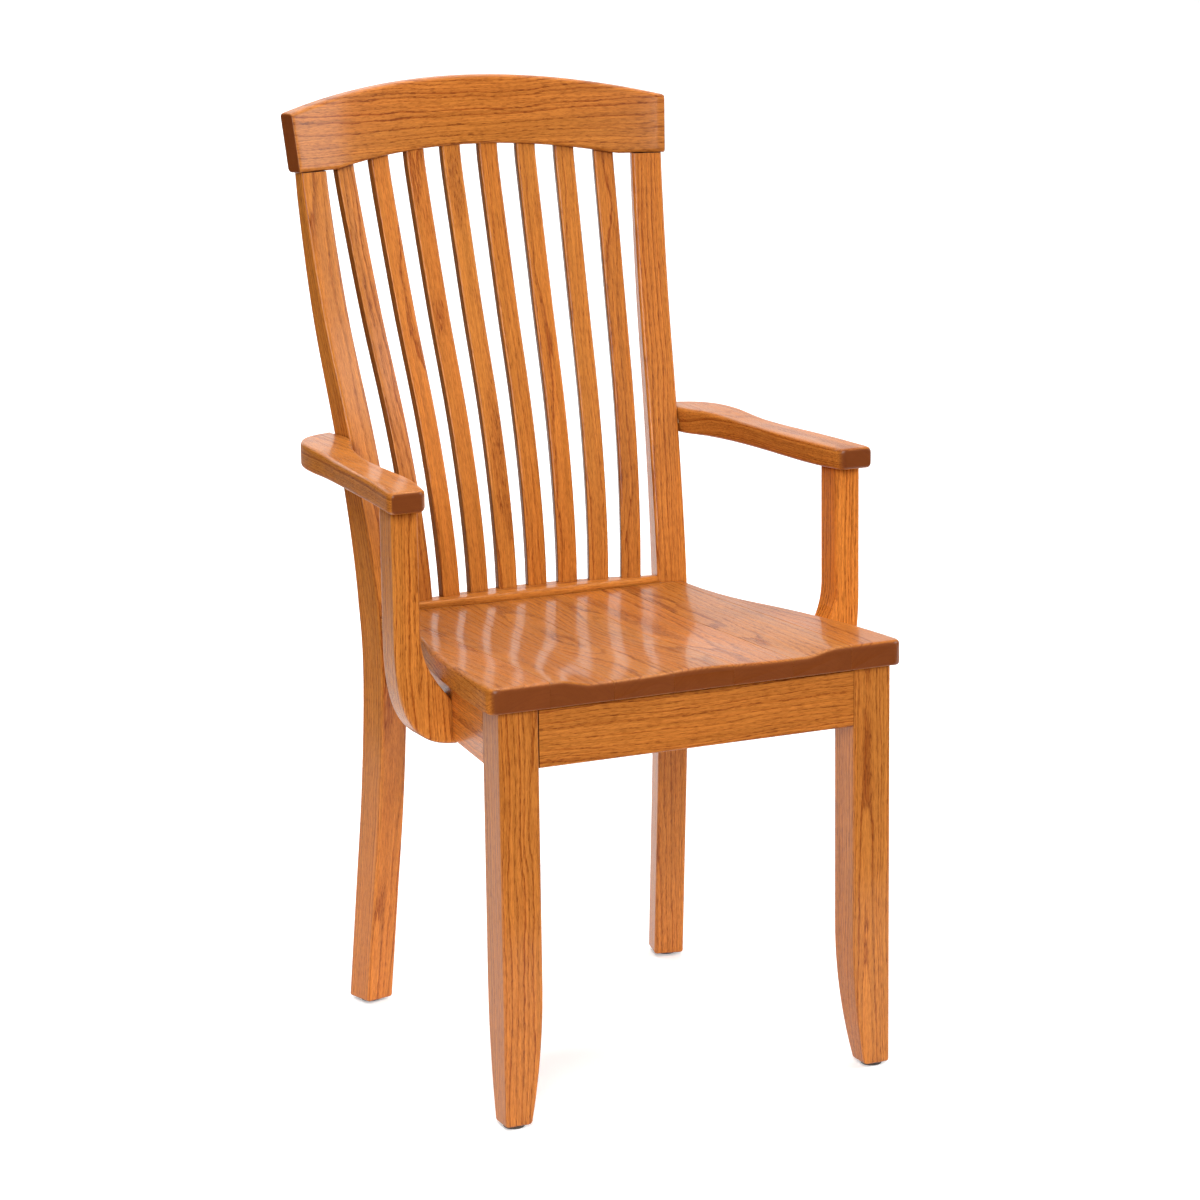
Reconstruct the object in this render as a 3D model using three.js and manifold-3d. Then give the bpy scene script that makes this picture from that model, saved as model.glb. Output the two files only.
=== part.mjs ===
// A wooden dining armchair with a saddle seat and a tall fanned slat back.
// Millimetres. +X is to the right for a viewer in front of the chair, +Y runs to the back, +Z is up.
// While the chair is built, y = 0 is the front face of the front legs. At the end the whole chair is
// moved so that the origin lies on the floor, in the middle of the box around it.
import * as THREE from "three";
import { mergeVertices } from "three/addons/utils/BufferGeometryUtils.js";
import Module from "manifold-3d";

const wasm = await Module();
wasm.setup();

// ---- Driving dimensions ----

const GAP = 0.3; // clearance where two pieces touch

const SEAT_UNDERSIDE = 430;
const SEAT_THICKNESS = 26.5;
const SEAT_FRONT = -5; // the seat stands a little proud of the front legs
const SEAT_REAR = 403;
const SEAT_REAR_DROP = 7.5; // how much lower the seat is at the back than at the front
const SEAT_CORNER_RADIUS = 12;
// Half the seat's width at each depth: wide at the knees, drawn in behind the arm supports.
const SEAT_SIDE = [[-5, 232], [72, 226.5], [150, 216.5], [205, 207.5], [277, 192], [340, 185], [403, 183.5]];
const SEAT_SCOOP = { front: 6.3, deepest: 9, rear: 1.5 };
const SADDLE_LIP = { front: 157, rear: 178 }; // where the scoop ends, either side of the middle
const SADDLE_FLOOR = { front: 118, rear: 60 }; // where its full depth ends
const SEAT_POMMEL = { rise: 2.8, spread: 48 }; // between the thighs at the front edge
// How far back, as shares of the seat's depth, the saddle reaches its full width and the pommel fades.
const SADDLE_OPENING = { lip: 0.35, floor: 0.45 };
const POMMEL_FADE = { start: 0.05, end: 0.45 };
const BOARD_JOINTS = [-166, -97, -31, 36, 104, 171]; // glue lines between the seat's seven boards

const LEG_SIDE = 42.8;
const LEG_OUTSIDE = 219.6; // from the middle of the chair to a front leg's outer face
const LEG_TAPER_HEIGHT = 150;
const LEG_FOOT_SIDE = 28;
const EDGE_RADIUS = 3; // on legs and posts
const FRONT_FOOT_CHAMFER = { inward: 3.5, upward: 5 };
const REAR_FOOT_CHAMFER = 3;

const APRON_HEIGHT = 60;
const APRON_THICKNESS = 20;
const APRON_SETBACK = 1;
const APRON_TENON_LENGTH = 18;
const APRON_TENON_THICKNESS = 8;
const APRON_TENON_FROM_TOP = 24;
const APRON_TENON_HEIGHT = 30;
const TENON_ROOT = 5; // how far a tenon is let into its own piece
const SIDE_APRON_REAR = { setback: 7, depth: 393, reach: 403 }; // in from the post's outer edge
const SIDE_REAR_TENON = { front: 380, back: 409 };
const REAR_APRON_TENON = { inner: 144.6, outer: 171.6, setback: 9 };
const REAR_APRON_FRONT = 403;
const REAR_APRON_TOP = 424;

const POST_TWIST = THREE.MathUtils.degToRad(14.5); // the posts turn with the curve of the back
const POST_WIDTH = 33.6;
const POST_X = 169.6; // middle of the post's front face at seat height
const POST_Y = 399;
const POST_TOP = 916;
// How far the post's front face lies behind its place at seat height, at each height.
const POST_BEND = [[0, 37.7], [120, 21.5], [250, 4.3], [380, -4.8], [456, 0], [540, 16.7], [640, 44.6],
  [760, 83.7], [880, 111.7], [960, 123.4]];
const POST_DEPTH = [[0, 36.2], [456, 38], [919, 15], [960, 15]];
const POST_HEAD_TENON = { width: 24, depth: 9, height: 24 };

const SLAT_COUNT = 8;
const SLAT_WIDTH = 22.5;
const SLAT_THICKNESS = 11;
const SLAT_MORTISE = 12;
const SLAT_EDGE_RADIUS = 2;
// The slats stand on a curved, raked surface whose edges are the posts. A slat's place on it is a share
// of the way from the middle to a post.
const FAN_FOOT = 456;
const FAN_HEAD = 919;
const FAN_PITCH = { foot: 0.212, head: 0.224 };
const FAN_HOLLOW = { foot: 30.9, head: 26.9 }; // how far the middle lies behind the sides
const FAN_SETBACK = { foot: 3.6, head: 15.3 }; // behind the posts' front faces
const FAN_STRAIGHTENING = 13.2; // the slats bend less than the posts

const RAIL_TOP = 455.5;
const RAIL_HEIGHT = 30;
const RAIL_BEHIND_SLATS = 8;
const RAIL_TENON = { inner: 146, outer: 169, front: 412, back: 430, low: 431, high: 449 };

const CREST_THICKNESS = 20;
const CREST_HOLLOW = 33; // a deeper curve than the slats', so that they enter the middle of its thickness
const CREST_RAKE = 0.17; // backward for each millimetre of height
const CREST_HALF_WIDTH = { bottom: 222, top: 226.5 };
const CREST_END_HEIGHT = 63;
const CREST_TOP_RISE = 29;
const CREST_ARCH = { halfSpan: 170, rise: 17 };
const CREST_EDGE_RADIUS = 3.5;

const ARM_UNDERSIDE = 609.5;
const ARM_FRONT = 134;
const ARM_END = 473;
const ARM_OUTER = [[134, 275.5], [190, 269.5], [250, 265], [310, 260.5], [360, 258], [400, 258], [430, 255],
  [450, 248], [462, 237], [469, 224], [473, 211]];
const ARM_INNER = [[134, 234.5], [190, 226], [250, 224], [310, 222.5], [360, 218], [400, 209.5], [425, 199],
  [450, 197], [473, 203]];
const ARM_TOP = [[134, 632], [200, 633.5], [330, 633.5], [400, 637], [473, 638.5]];
const ARM_EDGE_RADIUS = 4.5;
const ARM_FRONT_EDGE_RADIUS = 3;
const ARM_CORNER = [[0, 8.5], [1.5, 5.2], [5, 2], [12, 0]]; // [behind the front, drawn in from the side]
const ARM_NOSE = 0.9; // how much lower each of the last sections at the front is, at its top and bottom
const ARM_DOWEL = { radius: 4, length: 30, height: 622, spread: 8 };

const SUPPORT_FRONT = 148.4;
const SUPPORT_DEPTH = 35;
const SUPPORT_INNER = 238.5;
const SUPPORT_OUTER = 267;
const SUPPORT_FOOT = 365;
// The sweep in under the seat: start, two handles and end of a curve, as [x, height].
const SUPPORT_INNER_SWEEP = [[SUPPORT_INNER, 485], [SUPPORT_INNER, 448], [222, 430], [201, 405.5]];
const SUPPORT_OUTER_SWEEP = [[201, SUPPORT_FOOT], [253, SUPPORT_FOOT], [SUPPORT_OUTER, 405],
  [SUPPORT_OUTER, 476]];
const SUPPORT_TENON = { width: 14, depth: 20, height: 12 };

const SCREW = { headRadius: 4, shankRadius: 2, head: 3 };
const FRONT_SEAT_SCREW = { x: 181, y: 64, length: 58 };
const REAR_SEAT_SCREW = { x: 150, y: 371, length: 52 };
const SUPPORT_SCREW = { height: 387, length: 34 };
const LAG = { headRadius: 5, shankRadius: 2.5, head: 4, length: 56 };
const LAG_BELOW_SEAT = 15;
const FRONT_LAG = { x: 154.3, y: 59.8, aim: [1, -1] };
const REAR_LAG = { x: 136.5, y: 367, aim: [0.6, 0.8] };

const BLOCK_HEIGHT = 38;
const BLOCK_BELOW_APRON_TOP = 5;
const FRONT_BLOCK_REACH = { across: 61, along: 58 }; // from the leg's inner corner
const REAR_BLOCK_CORNER = { inner: 100, front: 332 };

const GLIDE_RADIUS = 11;
const GLIDE_HEIGHT = 3;
const GLIDE_NAIL = { radius: 1.5, length: 14 };

// ---- Finishes ----

const oak = new THREE.MeshStandardMaterial({ color: 0xc87832, roughness: 0.35, metalness: 0 });
const blockWood = new THREE.MeshStandardMaterial({ color: 0xcfa468, roughness: 0.7, metalness: 0 });
const zincSteel = new THREE.MeshStandardMaterial({ color: 0xb8b9bb, roughness: 0.4, metalness: 1 });
const nylon = new THREE.MeshStandardMaterial({ color: 0x3a322b, roughness: 0.5, metalness: 0 });

// ---- Curves ----

const mix = THREE.MathUtils.lerp;

// A smooth curve through [place, value] pairs, as a function of place.
function curveThrough(knots) {
  const slopeAt = (i) => {
    const before = knots[Math.max(i - 1, 0)];
    const after = knots[Math.min(i + 1, knots.length - 1)];
    return (after[1] - before[1]) / (after[0] - before[0]);
  };
  return (place) => {
    const found = knots.findIndex((knot) => place <= knot[0]);
    const end = found < 0 ? knots.length - 1 : Math.max(found, 1);
    const [a, b] = [knots[end - 1], knots[end]];
    const run = b[0] - a[0];
    const t = (place - a[0]) / run;
    const rise = t * t * (3 - 2 * t);
    const leave = t * (1 - t) * (1 - t) * run * slopeAt(end - 1);
    const arrive = t * t * (t - 1) * run * slopeAt(end);
    return mix(a[1], b[1], rise) + leave + arrive;
  };
}

// Straight lines through [place, value] pairs.
function linesThrough(knots) {
  return (place) => {
    const end = Math.max(knots.findIndex((knot) => place <= knot[0]), 1);
    const [a, b] = [knots[end - 1], knots[end]];
    return mix(a[1], b[1], (place - a[0]) / (b[0] - a[0]));
  };
}

const evenly = (from, to, steps) => Array.from({ length: steps + 1 }, (_, i) => mix(from, to, i / steps));

// ---- Solids ----

// Corner points of a rectangle with rounded corners, anticlockwise.
function roundedRectangle(left, right, bottom, top, radius, steps = 2) {
  const corners = [[right, top, 0], [left, top, 1], [left, bottom, 2], [right, bottom, 3]];
  return corners.flatMap(([x, y, quarter]) => {
    const centreX = x === right ? x - radius : x + radius;
    const centreY = y === top ? y - radius : y + radius;
    return evenly(0, 1, steps).map((t) => {
      const angle = ((quarter + t) * Math.PI) / 2;
      return [centreX + radius * Math.cos(angle), centreY + radius * Math.sin(angle)];
    });
  });
}

// A closed skin over a row of rings, each with the same number of points, and a flat cap at each end.
function loft(rings) {
  const count = rings[0].length;
  const triangles = [];
  for (let ring = 0; ring + 1 < rings.length; ring++) {
    for (let i = 0; i < count; i++) {
      const a = ring * count + i;
      const b = ring * count + ((i + 1) % count);
      triangles.push(a, b, b + count, a, b + count, a + count);
    }
  }
  const last = (rings.length - 1) * count;
  for (let i = 1; i + 1 < count; i++) {
    triangles.push(0, i + 1, i, last, last + i, last + i + 1);
  }
  const geometry = new THREE.BufferGeometry().setFromPoints(rings.flat());
  geometry.setIndex(triangles);
  return facingOut(geometry);
}

function facingOut(geometry) {
  const place = geometry.getAttribute("position");
  const [a, b, c] = [new THREE.Vector3(), new THREE.Vector3(), new THREE.Vector3()];
  const corners = geometry.index.array;
  let volume = 0;
  for (let i = 0; i < corners.length; i += 3) {
    a.fromBufferAttribute(place, corners[i]);
    b.fromBufferAttribute(place, corners[i + 1]);
    c.fromBufferAttribute(place, corners[i + 2]);
    volume += a.dot(b.cross(c));
  }
  return volume < 0 ? turnedInsideOut(geometry) : geometry;
}

function turnedInsideOut(geometry) {
  const corners = geometry.index.array;
  for (let i = 0; i < corners.length; i += 3) {
    [corners[i + 1], corners[i + 2]] = [corners[i + 2], corners[i + 1]];
  }
  return geometry;
}

// The same shape on the other side of the chair.
function mirrored(geometry) {
  const indexed = welded(geometry);
  indexed.scale(-1, 1, 1);
  return turnedInsideOut(indexed);
}

function welded(geometry) {
  const bare = new THREE.BufferGeometry();
  bare.setAttribute("position", geometry.getAttribute("position").clone());
  if (geometry.index) {
    bare.setIndex(geometry.index.clone());
  }
  return mergeVertices(bare, 1e-4);
}

const block = (left, right, front, back, bottom, top, grow = 0) => {
  const size = [right - left, back - front, top - bottom].map((side) => side + 2 * grow);
  const box = new THREE.BoxGeometry(...size);
  return box.translate((left + right) / 2, (front + back) / 2, (bottom + top) / 2);
};

// A plate: an outline seen from above, of a given height.
function plate(outline, bottom, top) {
  const shape = new THREE.Shape(outline.map(([x, y]) => new THREE.Vector2(x, y)));
  const geometry = new THREE.ExtrudeGeometry(shape, { depth: top - bottom, bevelEnabled: false });
  return geometry.translate(0, 0, bottom);
}

function manifoldOf(geometry) {
  const mesh = welded(geometry);
  return new wasm.Manifold(new wasm.Mesh({
    numProp: 3,
    vertProperties: new Float32Array(mesh.getAttribute("position").array),
    triVerts: new Uint32Array(mesh.index.array),
  }));
}

function geometryOf(manifold) {
  const mesh = manifold.getMesh();
  const geometry = new THREE.BufferGeometry();
  geometry.setAttribute("position", new THREE.BufferAttribute(mesh.vertProperties, 3));
  geometry.setIndex(new THREE.BufferAttribute(mesh.triVerts, 1));
  return geometry;
}

const cut = (geometry, ...tools) => {
  const start = manifoldOf(geometry);
  return geometryOf(tools.reduce((rest, tool) => rest.subtract(manifoldOf(tool)), start));
};

const join = (geometry, ...others) => {
  const start = manifoldOf(geometry);
  return geometryOf(others.reduce((sum, other) => sum.add(manifoldOf(other)), start));
};

const common = (geometry, other) => geometryOf(manifoldOf(geometry).intersect(manifoldOf(other)));

// ---- The scene graph ----

const chair = new THREE.Group();

function add(name, geometry, finish) {
  const shape = geometry.index ? geometry.toNonIndexed() : geometry;
  shape.computeVertexNormals();
  const mesh = new THREE.Mesh(shape, finish);
  mesh.name = name;
  chair.add(mesh);
  return mesh;
}

// A right-hand piece and its mirror image.
function addPair(name, geometry, finish) {
  add(`${name}_right`, geometry, finish);
  add(`${name}_left`, geometry, finish).scale.x = -1;
}

const withMirror = (tool) => [tool, mirrored(tool)];

// ---- Pegs: dowels, screws and nails, which all lie along an axis ----

// A turned peg whose axis is +Y, from [radius, distance along the axis] pairs.
function turned(profile, grow = 0) {
  const [first, last] = [profile[0][1], profile[profile.length - 1][1]];
  const points = profile.map(([radius, along]) => {
    const end = along === first ? -grow : along === last ? grow : 0;
    return new THREE.Vector2(radius + grow, along + end);
  });
  const outline = [new THREE.Vector2(0, points[0].y), ...points, new THREE.Vector2(0, points.at(-1).y)];
  return new THREE.LatheGeometry(outline, 10);
}

// A peg put in place: its axis starts at a point and runs along a direction.
class Peg {
  constructor(profile, start, direction) {
    this.profile = profile;
    this.start = start;
    this.turn = new THREE.Quaternion().setFromUnitVectors(
      new THREE.Vector3(0, 1, 0),
      direction.clone().normalize(),
    );
  }

  hole() {
    const shape = turned(this.profile, GAP);
    return shape.applyQuaternion(this.turn).translate(this.start.x, this.start.y, this.start.z);
  }

  addPair(name, finish) {
    for (const [side, sign] of [["right", 1], ["left", -1]]) {
      const mesh = add(`${name}_${side}`, turned(this.profile), finish);
      mesh.position.set(sign * this.start.x, this.start.y, this.start.z);
      mesh.quaternion.set(this.turn.x, sign * this.turn.y, sign * this.turn.z, this.turn.w);
    }
  }
}

const screwProfile = ({ headRadius, shankRadius, head, length }) => [
  [headRadius, 0],
  [shankRadius, head],
  [shankRadius, length - 2 * shankRadius],
  [shankRadius / 4, length],
];

// ---- The shape of the back ----

const postBend = curveThrough(POST_BEND);
const postDepth = linesThrough(POST_DEPTH);
const outward = new THREE.Vector2(Math.cos(POST_TWIST), -Math.sin(POST_TWIST));
const backward = new THREE.Vector2(Math.sin(POST_TWIST), Math.cos(POST_TWIST));

// A point of the right post: so far outward and backward from the middle of its front face.
function onPost(height, out, back) {
  const behind = postBend(height) + back;
  return new THREE.Vector3(
    POST_X + outward.x * out + backward.x * behind,
    POST_Y + outward.y * out + backward.y * behind,
    height,
  );
}

// A slat surface point, share of the way from the middle to a post, and the surface's slope there.
function onFan(share, height) {
  const up = (height - FAN_FOOT) / (FAN_HEAD - FAN_FOOT);
  const inside = Math.min(Math.max(up, 0), 1);
  const hollow = mix(FAN_HOLLOW.foot, FAN_HOLLOW.head, up);
  const setback = mix(FAN_SETBACK.foot, FAN_SETBACK.head, up) - FAN_STRAIGHTENING * 4 * inside * (1 - inside);
  const post = onPost(height, 0, 0);
  const centre = new THREE.Vector2(share * post.x, post.y + setback + hollow * (1 - share * share));
  const slope = (-2 * hollow * share) / post.x;
  const along = new THREE.Vector2(1, slope).normalize();
  return { centre, along, through: new THREE.Vector2(-along.y, along.x) };
}

const slatShare = (index, height) => {
  const up = (height - FAN_FOOT) / (FAN_HEAD - FAN_FOOT);
  return (index - (SLAT_COUNT - 1) / 2) * mix(FAN_PITCH.foot, FAN_PITCH.head, up);
};

const crestBottom = (x) => POST_TOP + CREST_ARCH.rise * Math.max(0, 1 - (x / CREST_ARCH.halfSpan) ** 2);
const crestTop = (x) => {
  const share = x / CREST_HALF_WIDTH.top;
  return POST_TOP + CREST_END_HEIGHT + CREST_TOP_RISE * (1 - share * share);
};

// A point of the crest: x and height on its middle surface, then so far through its thickness. Its front
// face is flush with the posts' front faces.
function onCrest(x, height, through) {
  const post = onPost(POST_TOP, 0, 0);
  const share = x / post.x;
  const flush = post.y + CREST_THICKNESS / 2 + CREST_RAKE * (height - POST_TOP);
  const slope = (-2 * CREST_HOLLOW * share) / post.x;
  const along = new THREE.Vector2(1, slope).normalize();
  return new THREE.Vector3(
    x - along.y * through,
    flush + CREST_HOLLOW * (1 - share * share) + along.x * through,
    height,
  );
}

// ---- Back posts ----

function postShape(grow = 0) {
  const foot = GLIDE_HEIGHT + GAP;
  const heights = [foot, foot + REAR_FOOT_CHAMFER, 60, 120, 180, 240, 300, 350, 400, 430, 456, 500, 550,
    600, 650, 700, 760, 820, 880, POST_TOP - GAP];
  return loft(heights.map((height) => {
    const inset = height === foot ? REAR_FOOT_CHAMFER : 0;
    const half = POST_WIDTH / 2 - inset + grow;
    const depth = postDepth(height);
    const section = roundedRectangle(-half, half, inset - grow, depth - inset + grow, EDGE_RADIUS, 1);
    return section.map(([out, back]) => onPost(height, out, back));
  }));
}

function headTenon(grow = 0) {
  const { width, depth, height } = POST_HEAD_TENON;
  const across = width / 2 + grow;
  const through = depth / 2 + grow;
  const middle = postDepth(POST_TOP) / 2;
  const section = [[-across, -through], [across, -through], [across, through], [-across, through]];
  const heights = [POST_TOP - TENON_ROOT, POST_TOP + height + grow];
  return loft(heights.map((z) => section.map(([out, back]) => onPost(z, out, middle + back))));
}

// ---- Aprons ----

const apronTop = SEAT_UNDERSIDE - GAP;
const apronBottom = SEAT_UNDERSIDE - APRON_HEIGHT;
const tenonTop = SEAT_UNDERSIDE - APRON_TENON_FROM_TOP;
const tenonBottom = tenonTop - APRON_TENON_HEIGHT;
const legInside = LEG_OUTSIDE - LEG_SIDE;

// The side apron's outer face runs from the front leg's outer face to the front of the post.
const sideFront = new THREE.Vector2(LEG_OUTSIDE - APRON_SETBACK, LEG_SIDE + GAP);
const postOuterEdge = POST_X + outward.x * (POST_WIDTH / 2);
const sideBack = new THREE.Vector2(postOuterEdge - SIDE_APRON_REAR.setback, SIDE_APRON_REAR.depth);
const sideRun = sideBack.clone().sub(sideFront).normalize();
const sideIn = new THREE.Vector2(-sideRun.y, sideRun.x);
// A point at a depth, so far in from the side apron's outer face.
const onSide = (depth, inward) => {
  const face = mix(sideFront.x, sideBack.x, (depth - sideFront.y) / (sideBack.y - sideFront.y));
  return [face + inward / sideIn.x, depth];
};

function sideApronPlan(from, to, outer, inner) {
  return [onSide(from, inner), onSide(from, outer), onSide(to, outer), onSide(to, inner)];
}

const sideTenonOuter = (APRON_THICKNESS - APRON_TENON_THICKNESS) / 2;
const sideTenonInner = sideTenonOuter + APRON_TENON_THICKNESS;
const sideTenon = (from, to, grow = 0) => plate(
  sideApronPlan(from - grow, to + grow, sideTenonOuter - grow, sideTenonInner + grow),
  tenonBottom - grow,
  tenonTop + grow,
);
const sideFrontTenon = (grow) => sideTenon(LEG_SIDE - APRON_TENON_LENGTH, LEG_SIDE + TENON_ROOT, grow);
const sideBackTenon = (grow) => sideTenon(SIDE_REAR_TENON.front, SIDE_REAR_TENON.back, grow);

const apronTenonFront = APRON_SETBACK + (APRON_THICKNESS - APRON_TENON_THICKNESS) / 2;
const apronTenonBack = apronTenonFront + APRON_TENON_THICKNESS;
const frontTenon = (grow) => block(
  legInside - TENON_ROOT, legInside + APRON_TENON_LENGTH,
  apronTenonFront, apronTenonBack,
  tenonBottom, tenonTop,
  grow,
);

const rearTenonFront = REAR_APRON_FRONT + REAR_APRON_TENON.setback;
const rearTenon = (grow) => block(
  REAR_APRON_TENON.inner, REAR_APRON_TENON.outer,
  rearTenonFront, rearTenonFront + APRON_TENON_THICKNESS,
  tenonBottom, tenonTop,
  grow,
);

// ---- Screws, dowels and glides ----

const lagHeight = SEAT_UNDERSIDE - LAG_BELOW_SEAT;
const blockBottom = apronTop - BLOCK_BELOW_APRON_TOP - BLOCK_HEIGHT;
const up = new THREE.Vector3(0, 0, 1);

const lagPeg = ({ x, y, aim }) => new Peg(
  screwProfile(LAG),
  new THREE.Vector3(x, y, lagHeight),
  new THREE.Vector3(aim[0], aim[1], 0),
);
const seatPeg = ({ x, y, length }) => new Peg(
  screwProfile({ ...SCREW, length }),
  new THREE.Vector3(x, y, blockBottom),
  up,
);
const frontLag = lagPeg(FRONT_LAG);
const rearLag = lagPeg(REAR_LAG);
const frontSeatScrew = seatPeg(FRONT_SEAT_SCREW);
const rearSeatScrew = seatPeg(REAR_SEAT_SCREW);

const supportScrews = [1, 2].map((number) => {
  const depth = SUPPORT_FRONT + (SUPPORT_DEPTH * number) / 3;
  const [x, y] = onSide(depth, APRON_THICKNESS);
  const profile = screwProfile({ ...SCREW, length: SUPPORT_SCREW.length });
  const start = new THREE.Vector3(x, y, SUPPORT_SCREW.height);
  return new Peg(profile, start, new THREE.Vector3(-sideIn.x, -sideIn.y, 0));
});

const armDowels = [1, 2].map((number) => {
  const { radius, length, height, spread } = ARM_DOWEL;
  const back = postDepth(height) / 2 + (number === 1 ? -spread : spread);
  const start = onPost(height, POST_WIDTH / 2 - length / 2, back);
  const profile = [[radius - 1, 0], [radius, 1], [radius, length - 1], [radius - 1, length]];
  return new Peg(profile, start, new THREE.Vector3(outward.x, outward.y, 0));
});

const glideProfile = [
  [GLIDE_RADIUS - 1, 0],
  [GLIDE_RADIUS, 1],
  [GLIDE_RADIUS, GLIDE_HEIGHT],
  [GLIDE_NAIL.radius, GLIDE_HEIGHT + 0.01],
  [GLIDE_NAIL.radius, GLIDE_HEIGHT + GLIDE_NAIL.length],
];
const legFootMiddle = LEG_OUTSIDE - LEG_FOOT_SIDE / 2;
const postFootMiddle = onPost(0, 0, postDepth(0) / 2);
const frontGlide = new Peg(glideProfile, new THREE.Vector3(legFootMiddle, LEG_FOOT_SIDE / 2, 0), up);
const rearGlide = new Peg(glideProfile, postFootMiddle, up);

// ---- Front legs ----

function frontLegShape() {
  const foot = GLIDE_HEIGHT + GAP;
  const { inward, upward } = FRONT_FOOT_CHAMFER;
  const heights = [foot, foot + upward, 25, 50, 75, 100, 125, LEG_TAPER_HEIGHT, apronTop];
  return loft(heights.map((height) => {
    const above = Math.min(height / LEG_TAPER_HEIGHT, 1);
    const side = LEG_SIDE - (LEG_SIDE - LEG_FOOT_SIDE) * (1 - above) ** 2;
    const inset = height === foot ? inward : 0;
    const section = roundedRectangle(
      LEG_OUTSIDE - side + inset, LEG_OUTSIDE - inset, inset, side - inset, EDGE_RADIUS, 1,
    );
    return section.map(([x, y]) => new THREE.Vector3(x, y, height));
  }));
}

addPair("front_leg", cut(
  frontLegShape(),
  frontTenon(GAP),
  sideFrontTenon(GAP),
  frontLag.hole(),
  frontGlide.hole(),
), oak);

const railTenon = (grow) => block(
  RAIL_TENON.inner, RAIL_TENON.outer,
  RAIL_TENON.front, RAIL_TENON.back,
  RAIL_TENON.low, RAIL_TENON.high,
  grow,
);

addPair("back_post", cut(
  join(postShape(), headTenon()),
  sideBackTenon(GAP),
  rearTenon(GAP),
  railTenon(GAP),
  rearLag.hole(),
  rearGlide.hole(),
  ...armDowels.map((dowel) => dowel.hole()),
), oak);

// ---- Aprons in place ----

const postSpace = postShape(GAP);

add("front_apron", join(
  block(
    GAP - legInside, legInside - GAP, APRON_SETBACK, APRON_SETBACK + APRON_THICKNESS, apronBottom, apronTop,
  ),
  ...withMirror(frontTenon(0)),
), oak);

add("rear_apron", join(
  cut(
    block(
      -POST_X, POST_X, REAR_APRON_FRONT, REAR_APRON_FRONT + APRON_THICKNESS, apronBottom, REAR_APRON_TOP,
    ),
    ...withMirror(postSpace),
  ),
  ...withMirror(rearTenon(0)),
), oak);

const sideApronBody = plate(
  sideApronPlan(LEG_SIDE + GAP, SIDE_APRON_REAR.reach, 0, APRON_THICKNESS),
  apronBottom,
  apronTop,
);
addPair("side_apron", cut(
  join(cut(sideApronBody, postSpace), sideFrontTenon(0), sideBackTenon(0)),
  rearLag.hole(),
  ...supportScrews.map((screw) => screw.hole()),
), oak);

// ---- Corner blocks ----

const blockInner = APRON_THICKNESS + GAP;
const frontBlockPlan = [
  [legInside - FRONT_BLOCK_REACH.across, APRON_SETBACK + blockInner],
  [legInside - GAP, APRON_SETBACK + blockInner],
  [legInside - GAP, LEG_SIDE + GAP],
  onSide(LEG_SIDE + GAP, blockInner),
  onSide(LEG_SIDE + FRONT_BLOCK_REACH.along, blockInner),
];
const rearBlockPlan = [
  [REAR_BLOCK_CORNER.inner, REAR_APRON_FRONT - GAP],
  onSide(REAR_BLOCK_CORNER.front, blockInner),
  onSide(REAR_APRON_FRONT - GAP, blockInner),
];
const blockOf = (plan) => plate(plan, blockBottom, blockBottom + BLOCK_HEIGHT);
addPair(
  "corner_block_front",
  cut(blockOf(frontBlockPlan), frontLag.hole(), frontSeatScrew.hole()),
  blockWood,
);
addPair(
  "corner_block_rear",
  cut(blockOf(rearBlockPlan), postSpace, rearLag.hole(), rearSeatScrew.hole()),
  blockWood,
);

// ---- Saddle seat ----

const seatSide = curveThrough(SEAT_SIDE);
const smooth = THREE.MathUtils.smoothstep;

// Height of the seat's top: flat lands at the sides, a scoop between them and a low pommel in front.
function seatTop(x, y) {
  const depth = (y - SEAT_FRONT) / (SEAT_REAR - SEAT_FRONT);
  const land = SEAT_UNDERSIDE + SEAT_THICKNESS - SEAT_REAR_DROP * smooth(depth, 0, 1);
  const scoop = depth < 0.5
    ? mix(SEAT_SCOOP.front, SEAT_SCOOP.deepest, smooth(depth, 0, 0.5))
    : mix(SEAT_SCOOP.deepest, SEAT_SCOOP.rear, smooth(depth, 0.5, 1));
  const lip = mix(SADDLE_LIP.front, SADDLE_LIP.rear, smooth(depth, 0, SADDLE_OPENING.lip));
  const floorEdge = mix(SADDLE_FLOOR.front, SADDLE_FLOOR.rear, smooth(depth, 0, SADDLE_OPENING.floor));
  const bowl = 1 - smooth(Math.abs(x), floorEdge, lip);
  const ridge = Math.exp(-((x / SEAT_POMMEL.spread) ** 2));
  const pommel = SEAT_POMMEL.rise * ridge * (1 - smooth(depth, POMMEL_FADE.start, POMMEL_FADE.end));
  return land - scoop * bowl + pommel;
}

function seatHalfWidth(y) {
  const fromFront = Math.min((y - SEAT_FRONT) / SEAT_CORNER_RADIUS, 1);
  const drawnIn = SEAT_CORNER_RADIUS * (1 - Math.sqrt(1 - (1 - fromFront) ** 2));
  return seatSide(y) - drawnIn;
}

function seatShape() {
  const corner = [0, 1, 3.5, 7.5].map((behind) => SEAT_FRONT + behind);
  const depths = [...corner, SEAT_FRONT + SEAT_CORNER_RADIUS, 35, 72, 110, 150, 190, 232, 277, 320, 360,
    SEAT_REAR - GAP];
  const shares = [1, 0.88, 0.78, 0.69, 0.6, 0.5, 0.38, 0.24, 0.12, 0];
  const acrossTop = [...shares, ...shares.slice(0, -1).reverse().map((share) => -share)];
  return loft(depths.map((y) => {
    const half = seatHalfWidth(y);
    const top = acrossTop.map((share) => new THREE.Vector3(share * half, y, seatTop(share * half, y)));
    return [new THREE.Vector3(-half, y, SEAT_UNDERSIDE), new THREE.Vector3(half, y, SEAT_UNDERSIDE), ...top];
  }));
}

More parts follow.
